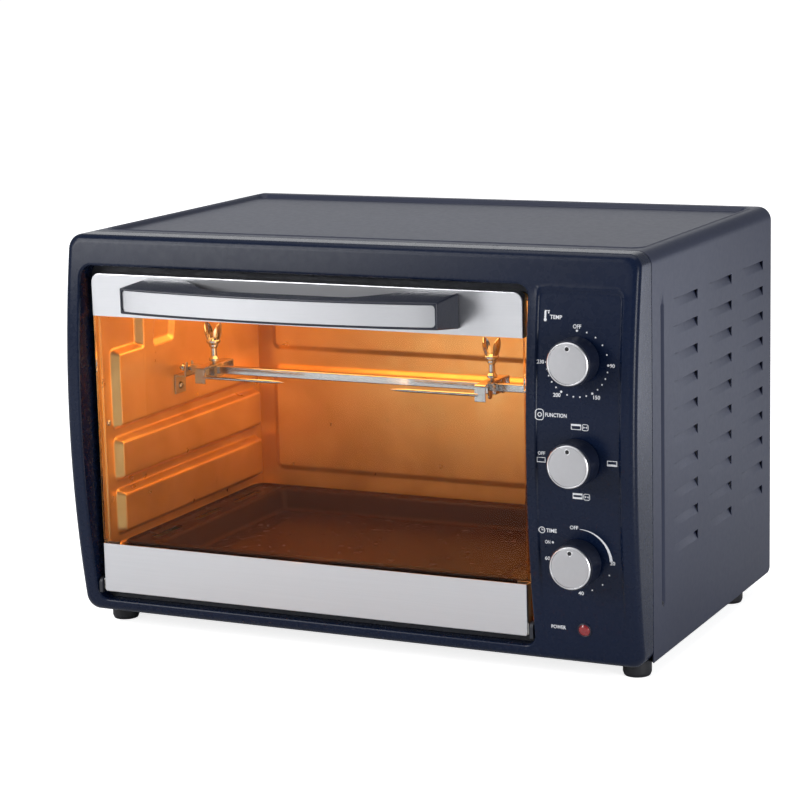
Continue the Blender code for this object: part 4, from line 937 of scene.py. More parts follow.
def door():
    rail_piece("door_upper_strip", "door_top_rail", DOOR_TOP_LOW.z, DOOR_TOP_HIGH.z, 8 * MM)
    rail_piece("door_lower_strip", "door_bottom_rail", DOOR_BOTTOM_HIGH.z, DOOR_BOTTOM_LOW.z, 2.5 * MM)
    low, high = span("door_glass")
    outline = filleted(rectangle((low.x, high.x), (low.z, high.z), 5 * MM))
    add("door_pane", extruded(outline, "Y", low.y, high.y), FINISHES["glass"], "door", "door_glass",
        bevel=0.5 * MM, angle=50)


HANDLE_LOW, HANDLE_HIGH = span("handle_bar")
HANDLE_HALF = (HANDLE_HIGH.x - HANDLE_LOW.x) / 2
HANDLE_END_Y = -67 * MM
HANDLE_REAR_Y = -60 * MM
HANDLE_TIP_Z = (277.5 * MM, 299.5 * MM)
HANDLE_FRAME = 2.1 * MM


def handle_bow(offset):
    """Front of the handle, a shallow arc over its length."""
    sagitta = HANDLE_END_Y - HANDLE_LOW.y
    radius = (HANDLE_HALF**2 + sagitta**2) / (2 * sagitta)
    return HANDLE_LOW.y + radius - math.sqrt(radius**2 - offset**2)


def handle_z(y, upper):
    """The handle tapers from the door to its front."""
    root = HANDLE_HIGH.z if upper else HANDLE_LOW.z
    return lerp(root, HANDLE_TIP_Z[upper], min((DOOR_FRONT_Y - y) / (DOOR_FRONT_Y - HANDLE_END_Y), 1.0))


def handle_rear(offset):
    """Back of the handle: posts that reach the door, flaring in a soft S to the bar between them."""
    reach = HANDLE_HALF - abs(offset)
    share = (reach - 38 * MM) / (46 * MM)
    flare = min(max(share, 0.0), 1.0)
    return DOOR_FRONT_Y - GAP + lerp(flare, smoothstep(flare), 0.45) * (HANDLE_REAR_Y - DOOR_FRONT_Y + GAP)


def handle():
    """Black bar with a thin frame round the brushed insert."""
    stations = merged(frange(-HANDLE_HALF, HANDLE_HALF, 90))
    rings = []
    for offset in stations:
        x = DOOR_CENTRE_X + offset
        front, rear = handle_bow(offset), handle_rear(offset)
        corners = []
        ys = [front, lerp(front, rear, 0.5), rear]
        corners += [(x, y, handle_z(max(y, HANDLE_END_Y), 1)) for y in ys]
        corners += [(x, y, handle_z(max(y, HANDLE_END_Y), 0)) for y in reversed(ys)]
        rings.append(corners)
    bm = bmesh.new()
    loft(bm, rings)
    seat = insert_bmesh(HANDLE_FRAME - 0.25 * MM, -5 * MM, 1.3 * MM)
    add("handle_grip", bm, FINISHES["black_plastic"], "door", "handle_bar", bevel=1.3 * MM, segments=3,
        angle=50, cutters=(seat,))
    insert = insert_bmesh(HANDLE_FRAME, 0.1 * MM, 1.2 * MM)
    add("handle_trim", insert, FINISHES["insert_steel"], "door", "handle_insert", bevel=0.35 * MM, angle=50)
    for side in ("left", "right"):
        node = f"handle_screw_{side}"
        low, high = span(node)
        centre = (low + high) / 2
        add_screw(f"{node}_head", "door", 3.4 * MM, 2 * MM, Matrix.Translation((centre.x, high.y - 2 * MM, centre.z)), node,
                  reach=12 * MM)


def insert_bmesh(border, front, back):
    """A bowed plate with round corners that follows the handle's front."""
    x_range = (DOOR_CENTRE_X - HANDLE_HALF + border, DOOR_CENTRE_X + HANDLE_HALF - border)
    z_range = (HANDLE_TIP_Z[0] + border, HANDLE_TIP_Z[1] - border)
    radius = 3 * MM
    stations = merged([x_range[0], x_range[0] + 0.25 * radius, x_range[0] + 0.6 * radius, x_range[0] + radius],
                      frange(x_range[0] + radius, x_range[1] - radius, 60),
                      [x_range[1] - 0.6 * radius, x_range[1] - 0.25 * radius, x_range[1]])
    rings = []
    for x in stations:
        away = max(x_range[0] + radius - x, x - x_range[1] + radius, 0.0)
        drop = radius - math.sqrt(max(radius**2 - away**2, 0))
        z0, z1 = z_range[0] + drop, z_range[1] - drop
        away = max(abs(x - DOOR_CENTRE_X) - HANDLE_HALF + 17 * MM, 0) / (15 * MM)
        bow = handle_bow(x - DOOR_CENTRE_X)
        y0, y1 = bow + front + 1.1 * MM * min(away, 1) ** 2, bow + back
        rings.append([(x, y0, z0), (x, y0, z1), (x, y1, z1), (x, y1, z0)])
    bm = bmesh.new()
    loft(bm, rings)
    return bm


def hinges():
    """Hinge blocks in the lower strip, their pins, and the plates that carry them."""
    for side, outward in (("left", -1), ("right", 1)):
        pin_low, pin_high = span(f"hinge_pin_{side}")
        plate_low, plate_high = span(f"hinge_bracket_{side}")
        y, z = -19 * MM, 21.5 * MM
        block_x = (pin_low.x + 5 * MM, pin_high.x) if outward < 0 else (pin_low.x, pin_high.x - 5 * MM)
        bm = bmesh.new()
        outline = filleted(rectangle((pin_low.y, pin_high.y), (pin_low.z, pin_high.z), 1.2 * MM))
        extrude(bm, outline, "X", *block_x)
        stem = filleted([(-6 * MM, 0, 0), (-6 * MM, 2 * MM, 0), (5.4 * MM, 2 * MM, 0.5 * MM), (5.4 * MM, 0, 0)], closed=False)
        end_x = DOOR_X[0] if outward < 0 else DOOR_X[1]
        turn(bm, stem, 24, along_x(end_x, y, z) @ Matrix.Scale(outward, 4, (0, 1, 0)))
        add(f"hinge_block_{side}", bm, FINISHES["zinc_steel"], "door", f"hinge_pin_{side}", angle=35)
        bracket = filleted([(plate_low.y, plate_low.z, 1 * MM), (plate_high.y, plate_low.z, 0),
                            (plate_high.y, plate_high.z, 0), (plate_low.y, plate_high.z, 5 * MM)])
        bore = turned([(-10 * MM, 2.3 * MM), (10 * MM, 2.3 * MM)], 24, along_x((plate_low.x + plate_high.x) / 2, y, z))
        add(f"hinge_plate_{side}", extruded(bracket, "X", plate_low.x, plate_high.x), FINISHES["dark_sheet"], "housing",
            f"hinge_bracket_{side}", bevel=0.4 * MM, cutters=(bore,))


# ---------------------------------------------------------------- controls


def knob_place(z):
    """Where a knob's level shaft leaves the bowed fascia; its local -Y points straight forward."""
    nearest = min(max(FASCIA_CREST_Z, z - KNOB_BASE_RADIUS), z + KNOB_BASE_RADIUS)
    return Matrix.Translation((CONTROL_X, fascia_y(nearest), z))


def lamp_place():
    """Where the power lamp sits square on the bowed fascia; its local -Y points straight out."""
    tilt = math.asin((POWER_LAMP_Z - FASCIA_CREST_Z) / FASCIA_RADIUS)
    return Matrix.Translation((CONTROL_X, fascia_y(POWER_LAMP_Z), POWER_LAMP_Z)) @ Matrix.Rotation(-tilt, 4, "X")


def profile_mm(*points, closed=False, step=12):
    """A turned outline from (distance, radius, corner radius) points in millimetres."""
    return filleted([(along * MM, radius * MM, corner * MM) for along, radius, corner in points], closed=closed, step=step)


def controls():
    """Knobs: a dark barrel, and a satin face in a polished rim, with a ringed pointer dimple."""
    for name, z in CONTROL_Z.items():
        place = knob_place(z)
        body = f"{name}_control"
        barrel = profile_mm((-0.4, 0, 0), (-0.4, 19, 0.5), (-20.2, 18.7, 1.0), (-20.2, 0, 0))
        add(f"{name}_knob_barrel", turned(barrel, 96), FINISHES["knob_plastic"], body, f"{name}_knob",
            angle=50, place=place)
        rim = profile_mm((-20.0, 17.5, 0), (-21.3, 17.5, 0.3), (-22.0, 16.9, 0.3), (-22.0, 16.3, 0.15), (-21.7, 16.1, 0),
                         (-20.0, 16.1, 0), closed=True)
        add(f"{name}_knob_rim", turned(rim, 96, inner=True), FINISHES["bright_rim"], body, angle=50,
            place=place)
        face = profile_mm((-20.3, 0, 0), (-20.3, 16.0, 0), (-21.6, 16.0, 0.3), (-21.75, 12, 0), (-21.85, 6, 0), (-21.9, 0, 0))
        dimple_place = Matrix.Translation((0, 0, 12.2 * MM))
        dimple = turned(profile_mm((-21.0, 0, 0), (-21.0, 1.7, 0), (-23, 1.75, 0), (-23, 0, 0)), 24, dimple_place)
        add(f"{name}_knob_face", turned(face, 96), FINISHES["spun_steel"], body, f"{name}_knob_cap",
            cutters=(dimple,), angle=35, place=place)
        dot = profile_mm((-20.8, 0, 0), (-20.8, 1.65, 0), (-21.5, 1.65, 0.25), (-21.5, 0, 0))
        add(f"{name}_pointer", turned(dot, 24, dimple_place), FINISHES["pointer_black"], body,
            place=place)
        collar = profile_mm((-21.3, 1.72, 0), (-22.0, 1.72, 0.15), (-22.0, 2.35, 0.2), (-21.3, 2.6, 0), closed=True)
        add(f"{name}_pointer_collar", turned(collar, 32, dimple_place, inner=True), FINISHES["bright_rim"], body,
            place=place)


def power_lamp():
    """Dark red domed cap in a thin black bezel."""
    place = lamp_place()
    lens = profile_mm((2, 0, 0), (2, 3.85, 0), (-0.3, 3.85, 0), (-0.3, 4.8, 0.2), (-1.2, 4.8, 0.5), (-2.3, 3.6, 0.8), (-2.6, 0, 0),
                      step=10)
    add("power_lamp_cap", turned(lens, 48), FINISHES["red_lens"], "housing", "power_lamp_lens", place=place)
    bezel = profile_mm((-0.1, 4.9, 0), (-0.9, 4.9, 0.2), (-1.2, 5.3, 0.2), (-0.9, 5.9, 0.3), (0.1, 6.1, 0), closed=True)
    add("power_lamp_bezel", turned(bezel, 48, inner=True), FINISHES["black_plastic"], "housing",
        place=place)


# ---------------------------------------------------------------- printed legends


PRINT = 0.12 * MM


def print_shape(bm, outline, holes=()):
    """Lays a flat (x, z) outline on the panel as a thin printed layer. With one hole, the two outlines match."""
    def layer(points, raised):
        return [bm.verts.new((x, panel_y(x, z) - PRINT * raised, z)) for x, z in points]

    outer = (layer(outline, 0), layer(outline, 1))
    count = len(outline)
    inner = (layer(holes, 0), layer(holes, 1)) if holes else None
    for i in range(count):
        j = (i + 1) % count
        bm.faces.new((outer[0][i], outer[0][j], outer[1][j], outer[1][i]))
        if inner:
            bm.faces.new((inner[0][j], inner[0][i], inner[1][i], inner[1][j]))
            for level in (0, 1):
                bm.faces.new((outer[level][i], outer[level][j], inner[level][j], inner[level][i]))
    if not inner:
        bm.faces.new(outer[0])
        bm.faces.new(outer[1])


def ring_points(x, z, radius, count=20):
    return [(x + radius * math.sin(2 * math.pi * k / count), z + radius * math.cos(2 * math.pi * k / count))
            for k in range(count)]


def print_text(bm, words, x_range, z, height=3.2 * MM):
    """Generic dial words and numbers in Blender's own font, stretched to a width and a height."""
    curve = bpy.data.curves.new("legend", "FONT")
    curve.body = words
    curve.resolution_u = 3
    curve.extrude = 0.5
    curve.offset = 0.018
    carrier = bpy.data.objects.new("legend", curve)
    bpy.context.scene.collection.objects.link(carrier)
    bpy.context.view_layer.update()
    mesh = bpy.data.meshes.new_from_object(carrier.evaluated_get(bpy.context.evaluated_depsgraph_get()))
    points = [vertex.co.copy() for vertex in mesh.vertices]
    left, right = min(p.x for p in points), max(p.x for p in points)
    bottom, top = min(p.y for p in points), max(p.y for p in points)
    for vertex, point in zip(mesh.vertices, points):
        flat_x = lerp(*x_range, (point.x - left) / (right - left))
        flat_z = z + height * ((point.y - bottom) / (top - bottom) - 0.5)
        vertex.co = (flat_x, panel_y(flat_x, flat_z) - PRINT * (0.5 + point.z), flat_z)
    bm.from_mesh(mesh)
    bpy.data.objects.remove(carrier)
    bpy.data.curves.remove(curve)
    bpy.data.meshes.remove(mesh)


def print_box(bm, x_range, z_range, line=0.0):
    """A solid bar, or with a line width a rectangular outline."""
    def corners(shrink):
        (x0, x1), (z0, z1) = x_range, z_range
        return [(x0 + shrink, z0 + shrink), (x1 - shrink, z0 + shrink), (x1 - shrink, z1 - shrink), (x0 + shrink, z1 - shrink)]

    print_shape(bm, corners(0), corners(line) if line else ())


def mm_range(low, high):
    return low * MM, high * MM


def print_dots(bm, centre_x, centre_z, radius, angles, marked=()):
    """Small dots on a dial, clockwise from the top, with larger ones at the marked places."""
    for number, degrees in enumerate(angles):
        spot = on_dial(centre_x, centre_z, radius, degrees)
        print_shape(bm, ring_points(*spot, (0.95 if number in marked else 0.66) * MM, 14))


def on_dial(centre_x, centre_z, radius, degrees):
    angle = math.radians(degrees)
    return centre_x + radius * math.sin(angle), centre_z + radius * math.cos(angle)


def temperature_legend(bm):
    x, z = 215 * MM, 250.8 * MM
    angles = frange(-2, 89.5, 5) + frange(101.5, 270.5, 14)
    print_dots(bm, x, z, 26.3 * MM, angles, (0, 5, 10, 15, 20))
    print_text(bm, "OFF", mm_range(210.6, 217.5), 280.4 * MM, 3.4 * MM)
    print_text(bm, "90", mm_range(242.6, 246.8), 250.8 * MM)
    print_text(bm, "150", mm_range(229.2, 234.9), 225.1 * MM)
    print_text(bm, "200", mm_range(194.9, 201.2), 225.3 * MM)
    print_text(bm, "230", mm_range(180.7, 186.7), 251.1 * MM)
    print_text(bm, "TEMP", mm_range(190.8, 201), 287 * MM)
    print_box(bm, mm_range(185.9, 187.5), mm_range(284.6, 291.4))
    print_shape(bm, ring_points(186.7 * MM, 284.6 * MM, 1.3 * MM, 14))
    print_box(bm, mm_range(186.2, 190.4), mm_range(291.4, 292.1))
    print_box(bm, mm_range(189.0, 190.0), mm_range(289.6, 291.0))


def chamber(bm, x_range, z_range, above, below):
    """The oven chamber's outline, with a heavy bar for each heater that is on."""
    print_box(bm, x_range, z_range, 0.55 * MM)
    inner = (x_range[0] + 0.5 * MM, x_range[1] - 0.5 * MM)
    if above:
        print_box(bm, inner, (z_range[1] - 1.5 * MM, z_range[1] - 0.5 * MM))
    if below:
        print_box(bm, inner, (z_range[0] + 0.5 * MM, z_range[0] + 1.5 * MM))


def rotating(bm, x_range, z_range):
    """The rotisserie's symbol: a bow tie in a rounded square."""
    outline = filleted(rectangle(x_range, z_range, 1.4 * MM), step=30)
    line = 0.5 * MM
    inside = filleted(rectangle((x_range[0] + line, x_range[1] - line), (z_range[0] + line, z_range[1] - line),
                                0.9 * MM), step=30)
    print_shape(bm, outline, inside)
    x, z, reach = sum(x_range) / 2, sum(z_range) / 2, 1.5 * MM
    for side in (-1, 1):
        print_shape(bm, [(x + side * 0.15 * MM, z), (x + side * reach, z - 1.0 * MM), (x + side * reach, z + 1.0 * MM)])


def function_legend(bm):
    print_text(bm, "FUNCTION", mm_range(188.1, 206.6), 208.8 * MM)
    outer, inner = rectangle(mm_range(179.9, 186.9), mm_range(204.1, 213.3), 2.4 * MM), \
        rectangle(mm_range(180.5, 186.3), mm_range(204.7, 212.7), 1.8 * MM)
    print_shape(bm, filleted(outer, step=30), filleted(inner, step=30))
    print_shape(bm, ring_points(183.4 * MM, 208.7 * MM, 1.9 * MM), ring_points(183.4 * MM, 208.7 * MM, 1.2 * MM))
    chamber(bm, mm_range(210.3, 218.9), mm_range(198.2, 202.8), True, False)
    rotating(bm, mm_range(219.7, 225.1), mm_range(197.7, 203.1))
    chamber(bm, mm_range(240.9, 249.4), mm_range(170.6, 175.0), False, True)
    chamber(bm, mm_range(211.1, 219.4), mm_range(141.7, 146.5), True, True)
    rotating(bm, mm_range(220.3, 225.8), mm_range(141.1, 146.5))
    print_text(bm, "OFF", mm_range(181.6, 188.0), 177.3 * MM, 2.9 * MM)
    print_box(bm, mm_range(180.9, 188.2), mm_range(169.8, 174.0), 0.55 * MM)


def timer_legend(bm):
    x, z = 216.2 * MM, 90.4 * MM
    print_text(bm, "TIME", mm_range(187.1, 196.2), 113.4 * MM)
    clock = (183.4 * MM, 113.4 * MM)
    print_shape(bm, ring_points(*clock, 2.8 * MM), ring_points(*clock, 2.2 * MM))
    print_box(bm, mm_range(183.15, 183.65), mm_range(113.2, 115.2))
    print_box(bm, mm_range(183.65, 185.0), mm_range(113.2, 113.7))
    print_text(bm, "ON", mm_range(185.6, 190.2), 103.6 * MM, 3 * MM)
    print_shape(bm, ring_points(192.4 * MM, 103.6 * MM, 1.0 * MM, 14))
    print_text(bm, "OFF", mm_range(207.8, 214.9), 117.6 * MM)
    print_text(bm, "20", mm_range(241.0, 245.4), 90.2 * MM)
    print_text(bm, "40", mm_range(212.5, 217.2), 62.3 * MM)
    print_text(bm, "60", mm_range(184.9, 189.4), 89.7 * MM)
    print_dots(bm, x, z, 26 * MM, (114, 137.5, 161))
    steps = 24
    outer = [on_dial(x, z, (26.3 + 0.9 * k / steps) * MM, 87 * k / steps) for k in range(steps + 1)]
    inner = [on_dial(x, z, (26.0 - 1.3 * k / steps) * MM, 87 * k / steps) for k in range(steps + 1)]
    print_shape(bm, outer + inner[::-1])


def legends():
    for name, draw in (("temperature", temperature_legend), ("function", function_legend), ("timer", timer_legend)):
        bm = bmesh.new()
        draw(bm)
        if name == "timer":
            print_text(bm, "POWER", mm_range(187, 199.7), 30.9 * MM)
        bmesh.ops.remove_doubles(bm, verts=bm.verts, dist=0.001 * MM)
        add(f"{name}_legend", bm, FINISHES["print_white"], "housing", angle=30)


# ---------------------------------------------------------------- cavity


RACK_GROOVES_Z = (60.5 * MM, 109.5 * MM, 156.5 * MM)
PANEL_RISE = 8 * MM


def panel_rise(y, z):
    """Height of a side wall's pressed panels: three shelves, and a tall field with a cut corner and a pocket."""
    length = (1 * MM, 262 * MM)
    fields = [(length, (29 * MM, RACK_GROOVES_Z[0] - 4 * MM)),
              (length, (RACK_GROOVES_Z[0] + 4 * MM, RACK_GROOVES_Z[1] - 4 * MM)),
              (length, (RACK_GROOVES_Z[1] + 4 * MM, RACK_GROOVES_Z[2] - 4 * MM)),
              (length, (RACK_GROOVES_Z[2] + 4 * MM, 232 * MM)),
              ((43 * MM, 262 * MM), (RACK_GROOVES_Z[2] + 4 * MM, 299 * MM))]
    deep = max(inside_rectangle(y, z, ys, zs, 5 * MM) for ys, zs in fields)
    rise = PANEL_RISE * smoothstep(0.06 + deep / (4.6 * MM))
    lean = (z - 239 * MM) * 0.25
    pocket = inside_rectangle(y - lean, z, (64 * MM, 102 * MM), (226 * MM, 260 * MM), 5 * MM)
    rise -= 4.6 * MM * smoothstep(pocket / (6 * MM))
    crease = smoothstep(1 - abs(y - 46 * MM) / (1.6 * MM)) * smoothstep((231 * MM - z) / (5 * MM))
    return rise - 0.5 * MM * crease * smoothstep((z - 165 * MM) / (4 * MM))


def side_wall(side, base_x, inward):
    """A pressed side wall, with round holes where a socket or a lamp passes through it."""
    ys = merged(frange(CAVITY_FRONT_Y, 12 * MM, 22), frange(12 * MM, 120 * MM, 60), frange(122 * MM, 250 * MM, 32),
                frange(252 * MM, CAVITY_REAR_Y - GAP, 16))
    zs = frange(CAVITY_FLOOR_Z + GAP, CAVITY_ROOF_Z - GAP, 190)
    bm = surface(lambda y, z: (base_x + inward * panel_rise(y, z), y, z), ys, zs)
    through = [] if side == "left" else [(SPIT_Y, SPIT_Z, 8.6 * MM), (185 * MM, 255 * MM, 13.4 * MM)]
    cutters = [turned([(-30 * MM, radius), (30 * MM, radius)], 40, along_x(base_x, y, z)) for y, z, radius in through]
    add(f"{side}_wall_pressing", bm, FINISHES["cavity_sheet"], "housing", f"cavity_{side}_wall",
        inside=(base_x - inward * 1.0, 130 * MM, 160 * MM), thickness=0.8 * MM, cutters=cutters, angle=60)


def cavity():
    side_wall("left", WALL_LEFT_X, 1)
    side_wall("right", WALL_RIGHT_X, -1)
    left, right = WALL_LEFT_X - SHEET, WALL_RIGHT_X + SHEET
    field_x = (WALL_LEFT_X + 16 * MM, WALL_RIGHT_X - 16 * MM)

    def rear(x, z):
        fields = [inside_rectangle(x, z, field_x, zs, 8 * MM) for zs in ((70 * MM, 176 * MM), (190 * MM, 290 * MM))]
        return x, CAVITY_REAR_Y - 2.5 * MM * smoothstep(max(fields) / (5 * MM)), z

    zs = merged([CAVITY_FLOOR_Z + GAP], frange(66 * MM, 80 * MM, 10), frange(168 * MM, 198 * MM, 20),
                frange(282 * MM, 294 * MM, 8), frange(85 * MM, 165 * MM, 4), frange(205 * MM, 275 * MM, 4),
                [CAVITY_ROOF_Z - GAP])
    xs = merged([left + 0.1 * MM, WALL_LEFT_X + 8 * MM], frange(field_x[0] - 2 * MM, field_x[0] + 12 * MM, 10),
                frange(field_x[0] + 20 * MM, field_x[1] - 20 * MM, 10),
                frange(field_x[1] - 12 * MM, field_x[1] + 2 * MM, 10), [WALL_RIGHT_X - 8 * MM, right - 0.1 * MM])
    add("rear_wall_pressing", surface(rear, xs, zs), FINISHES["cavity_sheet"], "housing",
        "cavity_rear_wall", inside=(0, 2.0, 160 * MM), thickness=0.8 * MM, angle=60)
    for name, z, lift in (("roof", CAVITY_ROOF_Z, 1), ("floor", CAVITY_FLOOR_Z, -1)):
        rows = merged([CAVITY_FRONT_Y], frange(20 * MM, 40 * MM, 10), frange(240 * MM, 262 * MM, 10),
                      frange(50 * MM, 230 * MM, 6), [CAVITY_REAR_Y + SHEET])

        def level(x, y, z=z, lift=lift):
            deep = inside_rectangle(x, y, field_x, (22 * MM, 258 * MM), 10 * MM)
            return x, y, z + lift * 0.6 * MM * smoothstep(deep / (4 * MM))

        add(f"{name}_pressing", surface(level, xs, rows), FINISHES["cavity_sheet"], "housing",
            f"cavity_{name}", inside=(0, 130 * MM, z + lift), thickness=0.8 * MM, angle=60)
    for side, x, outward in (("left", WALL_LEFT_X, 1), ("right", WALL_RIGHT_X, -1)):
        for number, z in enumerate((38 * MM, 168 * MM), 1):
            place = Matrix.Translation((x, -5 * MM, z)) @ Matrix.Rotation(math.radians(-90 * outward), 4, "Z")
            add_screw(f"wall_screw_{side}_{number}", "housing", 2.9 * MM, 1.4 * MM, place)


def heaters():
    """Sheathed rods with a swaged collar at each wall and terminal pins behind."""
    for level in ("upper", "lower"):
        for depth in ("front", "rear"):
            node = f"{level}_heater_{depth}"
            low, high = span(node)
            y, z = (low.y + high.y) / 2, (low.z + high.z) / 2
            radius, pin = 3.25 * MM, 1.5 * MM
            reach = 7 * MM
            wall = WALL_LEFT_X + PANEL_RISE - low.x + 0.3 * MM
            far = high.x - (WALL_RIGHT_X - PANEL_RISE) + 0.3 * MM
            length = high.x - low.x
            profile = filleted([(0, 0, 0), (0, pin, 0.3 * MM), (reach, pin, 0), (reach, radius, 0.8 * MM),
                                (wall, radius, 0), (wall, 5 * MM, 0.5 * MM), (wall + 2 * MM, 5 * MM, 0.5 * MM),
                                (wall + 2 * MM, radius, 0.3 * MM), (length - far - 2 * MM, radius, 0.3 * MM),
                                (length - far - 2 * MM, 5 * MM, 0.5 * MM), (length - far, 5 * MM, 0.5 * MM),
                                (length - far, radius, 0), (length - reach, radius, 0.8 * MM), (length - reach, pin, 0),
                                (length, pin, 0.3 * MM), (length, 0, 0)], closed=False, step=30)
            add(f"{node}_rod", turned(profile, 32, along_x(low.x, y, z)), FINISHES["heater_steel"], "housing",
                node, angle=40)


def oven_lamp():
    """Lamp glass in a steel ring on the right wall, with the bulb and its holder behind."""
    place = along_x(WALL_RIGHT_X - PANEL_RISE, 185 * MM, 255 * MM)
    cover = filleted([(-6.9 * MM, 0, 0), (-6 * MM, 7 * MM, 3 * MM), (-3.5 * MM, 11.5 * MM, 1 * MM), (-0.3 * MM, 13 * MM, 0.5 * MM),
                      (0.9 * MM, 13 * MM, 0.4 * MM), (0.9 * MM, 11.5 * MM, 0.3 * MM), (-2.5 * MM, 10.3 * MM, 1 * MM),
                      (-4.7 * MM, 6.3 * MM, 3 * MM), (-5.6 * MM, 0, 0)], closed=False)
    add("lamp_glass", turned(cover, 48, place), FINISHES["lamp_glass"], "housing", "lamp_cover")
    ring = filleted([(-0.2 * MM, 13.2 * MM, 0), (-2.2 * MM, 12.4 * MM, 0.6 * MM), (-2.4 * MM, 13.6 * MM, 0.5 * MM), (-0.2 * MM, 15.5 * MM, 0.5 * MM)])
    add("lamp_ring", turned(ring, 48, place, inner=True), FINISHES["zinc_steel"], "housing")
    bulb = filleted([(3 * MM, 0, 0), (3.6 * MM, 5 * MM, 3 * MM), (8 * MM, 9 * MM, 3 * MM), (16 * MM, 9.5 * MM, 4 * MM),
                     (22 * MM, 7 * MM, 1 * MM), (24 * MM, 10 * MM, 1 * MM), (44 * MM, 10 * MM, 1 * MM), (44 * MM, 4 * MM, 0),
                     (52 * MM, 4 * MM, 1 * MM), (52 * MM, 0, 0)], closed=False)
    add("lamp_bulb", turned(bulb, 40, place), FINISHES["bulb_glass"], "housing", "oven_lamp")


# ---------------------------------------------------------------- rotisserie


def spit():
    """Square bar with eased edges; its left end is turned down to a grooved neck and a round tip."""
    neck_x = WALL_LEFT_X + PANEL_RISE + 14 * MM
    half = 3.5 * MM
    outline = filleted(rectangle((SPIT_Y - half, SPIT_Y + half), (SPIT_Z - half, SPIT_Z + half), 0.9 * MM), step=30)
    bm = bmesh.new()

    def ring(x, share):
        return [(x, SPIT_Y + (y - SPIT_Y) * share, SPIT_Z + (z - SPIT_Z) * share) for y, z in outline]

    loft(bm, [ring(neck_x, 0.8), ring(neck_x + 0.8 * MM, 1), ring(SPIT_HIGH.x - 3 * MM, 1), ring(SPIT_HIGH.x, 0.7)])
    tip = filleted([(0, 0, 0), (0.6 * MM, 2.6 * MM, 1.2 * MM), (3 * MM, 3.6 * MM, 1 * MM), (5 * MM, 2.5 * MM, 1 * MM),
                    (17.5 * MM, 2.5 * MM, 0), (17.5 * MM, 0, 0)], closed=False)
    turn(bm, tip, 32, along_x(SPIT_LOW.x, SPIT_Y, SPIT_Z))
    add("spit_bar", bm, FINISHES["chrome"], "spit", "spit_rod", angle=50)
    low, high = span("drive_socket")
    socket = filleted([(0, 5.6 * MM, 0.4 * MM), (0, 7.2 * MM, 0.5 * MM), (1.2 * MM, 8 * MM, 0.5 * MM), (high.x - low.x - 10 * MM, 8 * MM, 0.6 * MM),
                       (high.x - low.x - 10 * MM, 3 * MM, 0), (high.x - low.x, 3 * MM, 0.4 * MM), (high.x - low.x, 0, 0)], closed=False)
    bore_half = half + 0.3 * MM
    bore = block((low.x - 5 * MM, SPIT_Y - bore_half, SPIT_Z - bore_half),
                 (SPIT_HIGH.x + 0.3 * MM, SPIT_Y + bore_half, SPIT_Z + bore_half))
    add("socket_drum", turned(socket, 48, along_x(low.x, SPIT_Y, SPIT_Z)), FINISHES["zinc_steel"], "drive",
        "drive_socket", cutters=(bore,), angle=40)


def fork(side, direction):
    """Square sleeve on the bar, a strip whose ends and tabs are bent down, and two ground tines."""
    low, high = span(f"fork_{side}")
    x = low.x + 6 * MM if direction > 0 else high.x - 6 * MM
    top = SPIT_Z + 6 * MM
    bm = bmesh.new()
    sleeve = filleted(rectangle((SPIT_Y - 6 * MM, SPIT_Y + 6 * MM), (SPIT_Z - 6 * MM, SPIT_Z + 4.4 * MM), 1.3 * MM), step=30)
    extrude(bm, sleeve, "X", x - 6 * MM, x + 6 * MM)
    span_y = 27 * MM
    t = 1.5 * MM

    def bent(points):
        return filleted(points, step=22)

    strip = bent([(SPIT_Y - span_y, SPIT_Z - 9 * MM, 0.6 * MM), (SPIT_Y - span_y, top, 2.2 * MM),
                  (SPIT_Y + span_y, top, 2.2 * MM), (SPIT_Y + span_y, SPIT_Z - 9 * MM, 0.6 * MM),
                  (SPIT_Y + span_y - t, SPIT_Z - 9 * MM, 0.6 * MM), (SPIT_Y + span_y - t, top - t, 0.8 * MM),
                  (SPIT_Y - span_y + t, top - t, 0.8 * MM), (SPIT_Y - span_y + t, SPIT_Z - 9 * MM, 0.6 * MM)])
    extrude(bm, strip, "X", x - 5 * MM, x + 5 * MM)
    for end in (-1, 1):
        tab_y = SPIT_Y + end * 14.5 * MM
        tab = filleted([(tab_y - 3.4 * MM, top - t, 0), (tab_y - 3.8 * MM, SPIT_Z - 8 * MM, 3 * MM),
                        (tab_y + 3.8 * MM, SPIT_Z - 8 * MM, 3 * MM), (tab_y + 3.4 * MM, top - t, 0)])
        extrude(bm, tab, "X", x - direction * 5 * MM, x - direction * 3.6 * MM)
        length = 84 * MM
        tine = [(0, 0), (0, 1.5 * MM), (length - 16 * MM, 1.5 * MM), (length - 6 * MM, 1.0 * MM), (length - 1 * MM, 0.35 * MM),
                (length, 0)]
        place = Matrix.Translation((x + direction * 2 * MM, SPIT_Y + end * (span_y - 0.8 * MM), SPIT_Z - 3 * MM))
        turn(bm, tine, 20, place @ Matrix.Rotation(math.radians(-90 * direction), 4, "Z"))
    add(f"fork_{side}_prongs", bm, FINISHES["chrome"], f"{side}_fork", f"fork_{side}", angle=40)
    thumb_screw(side, x)


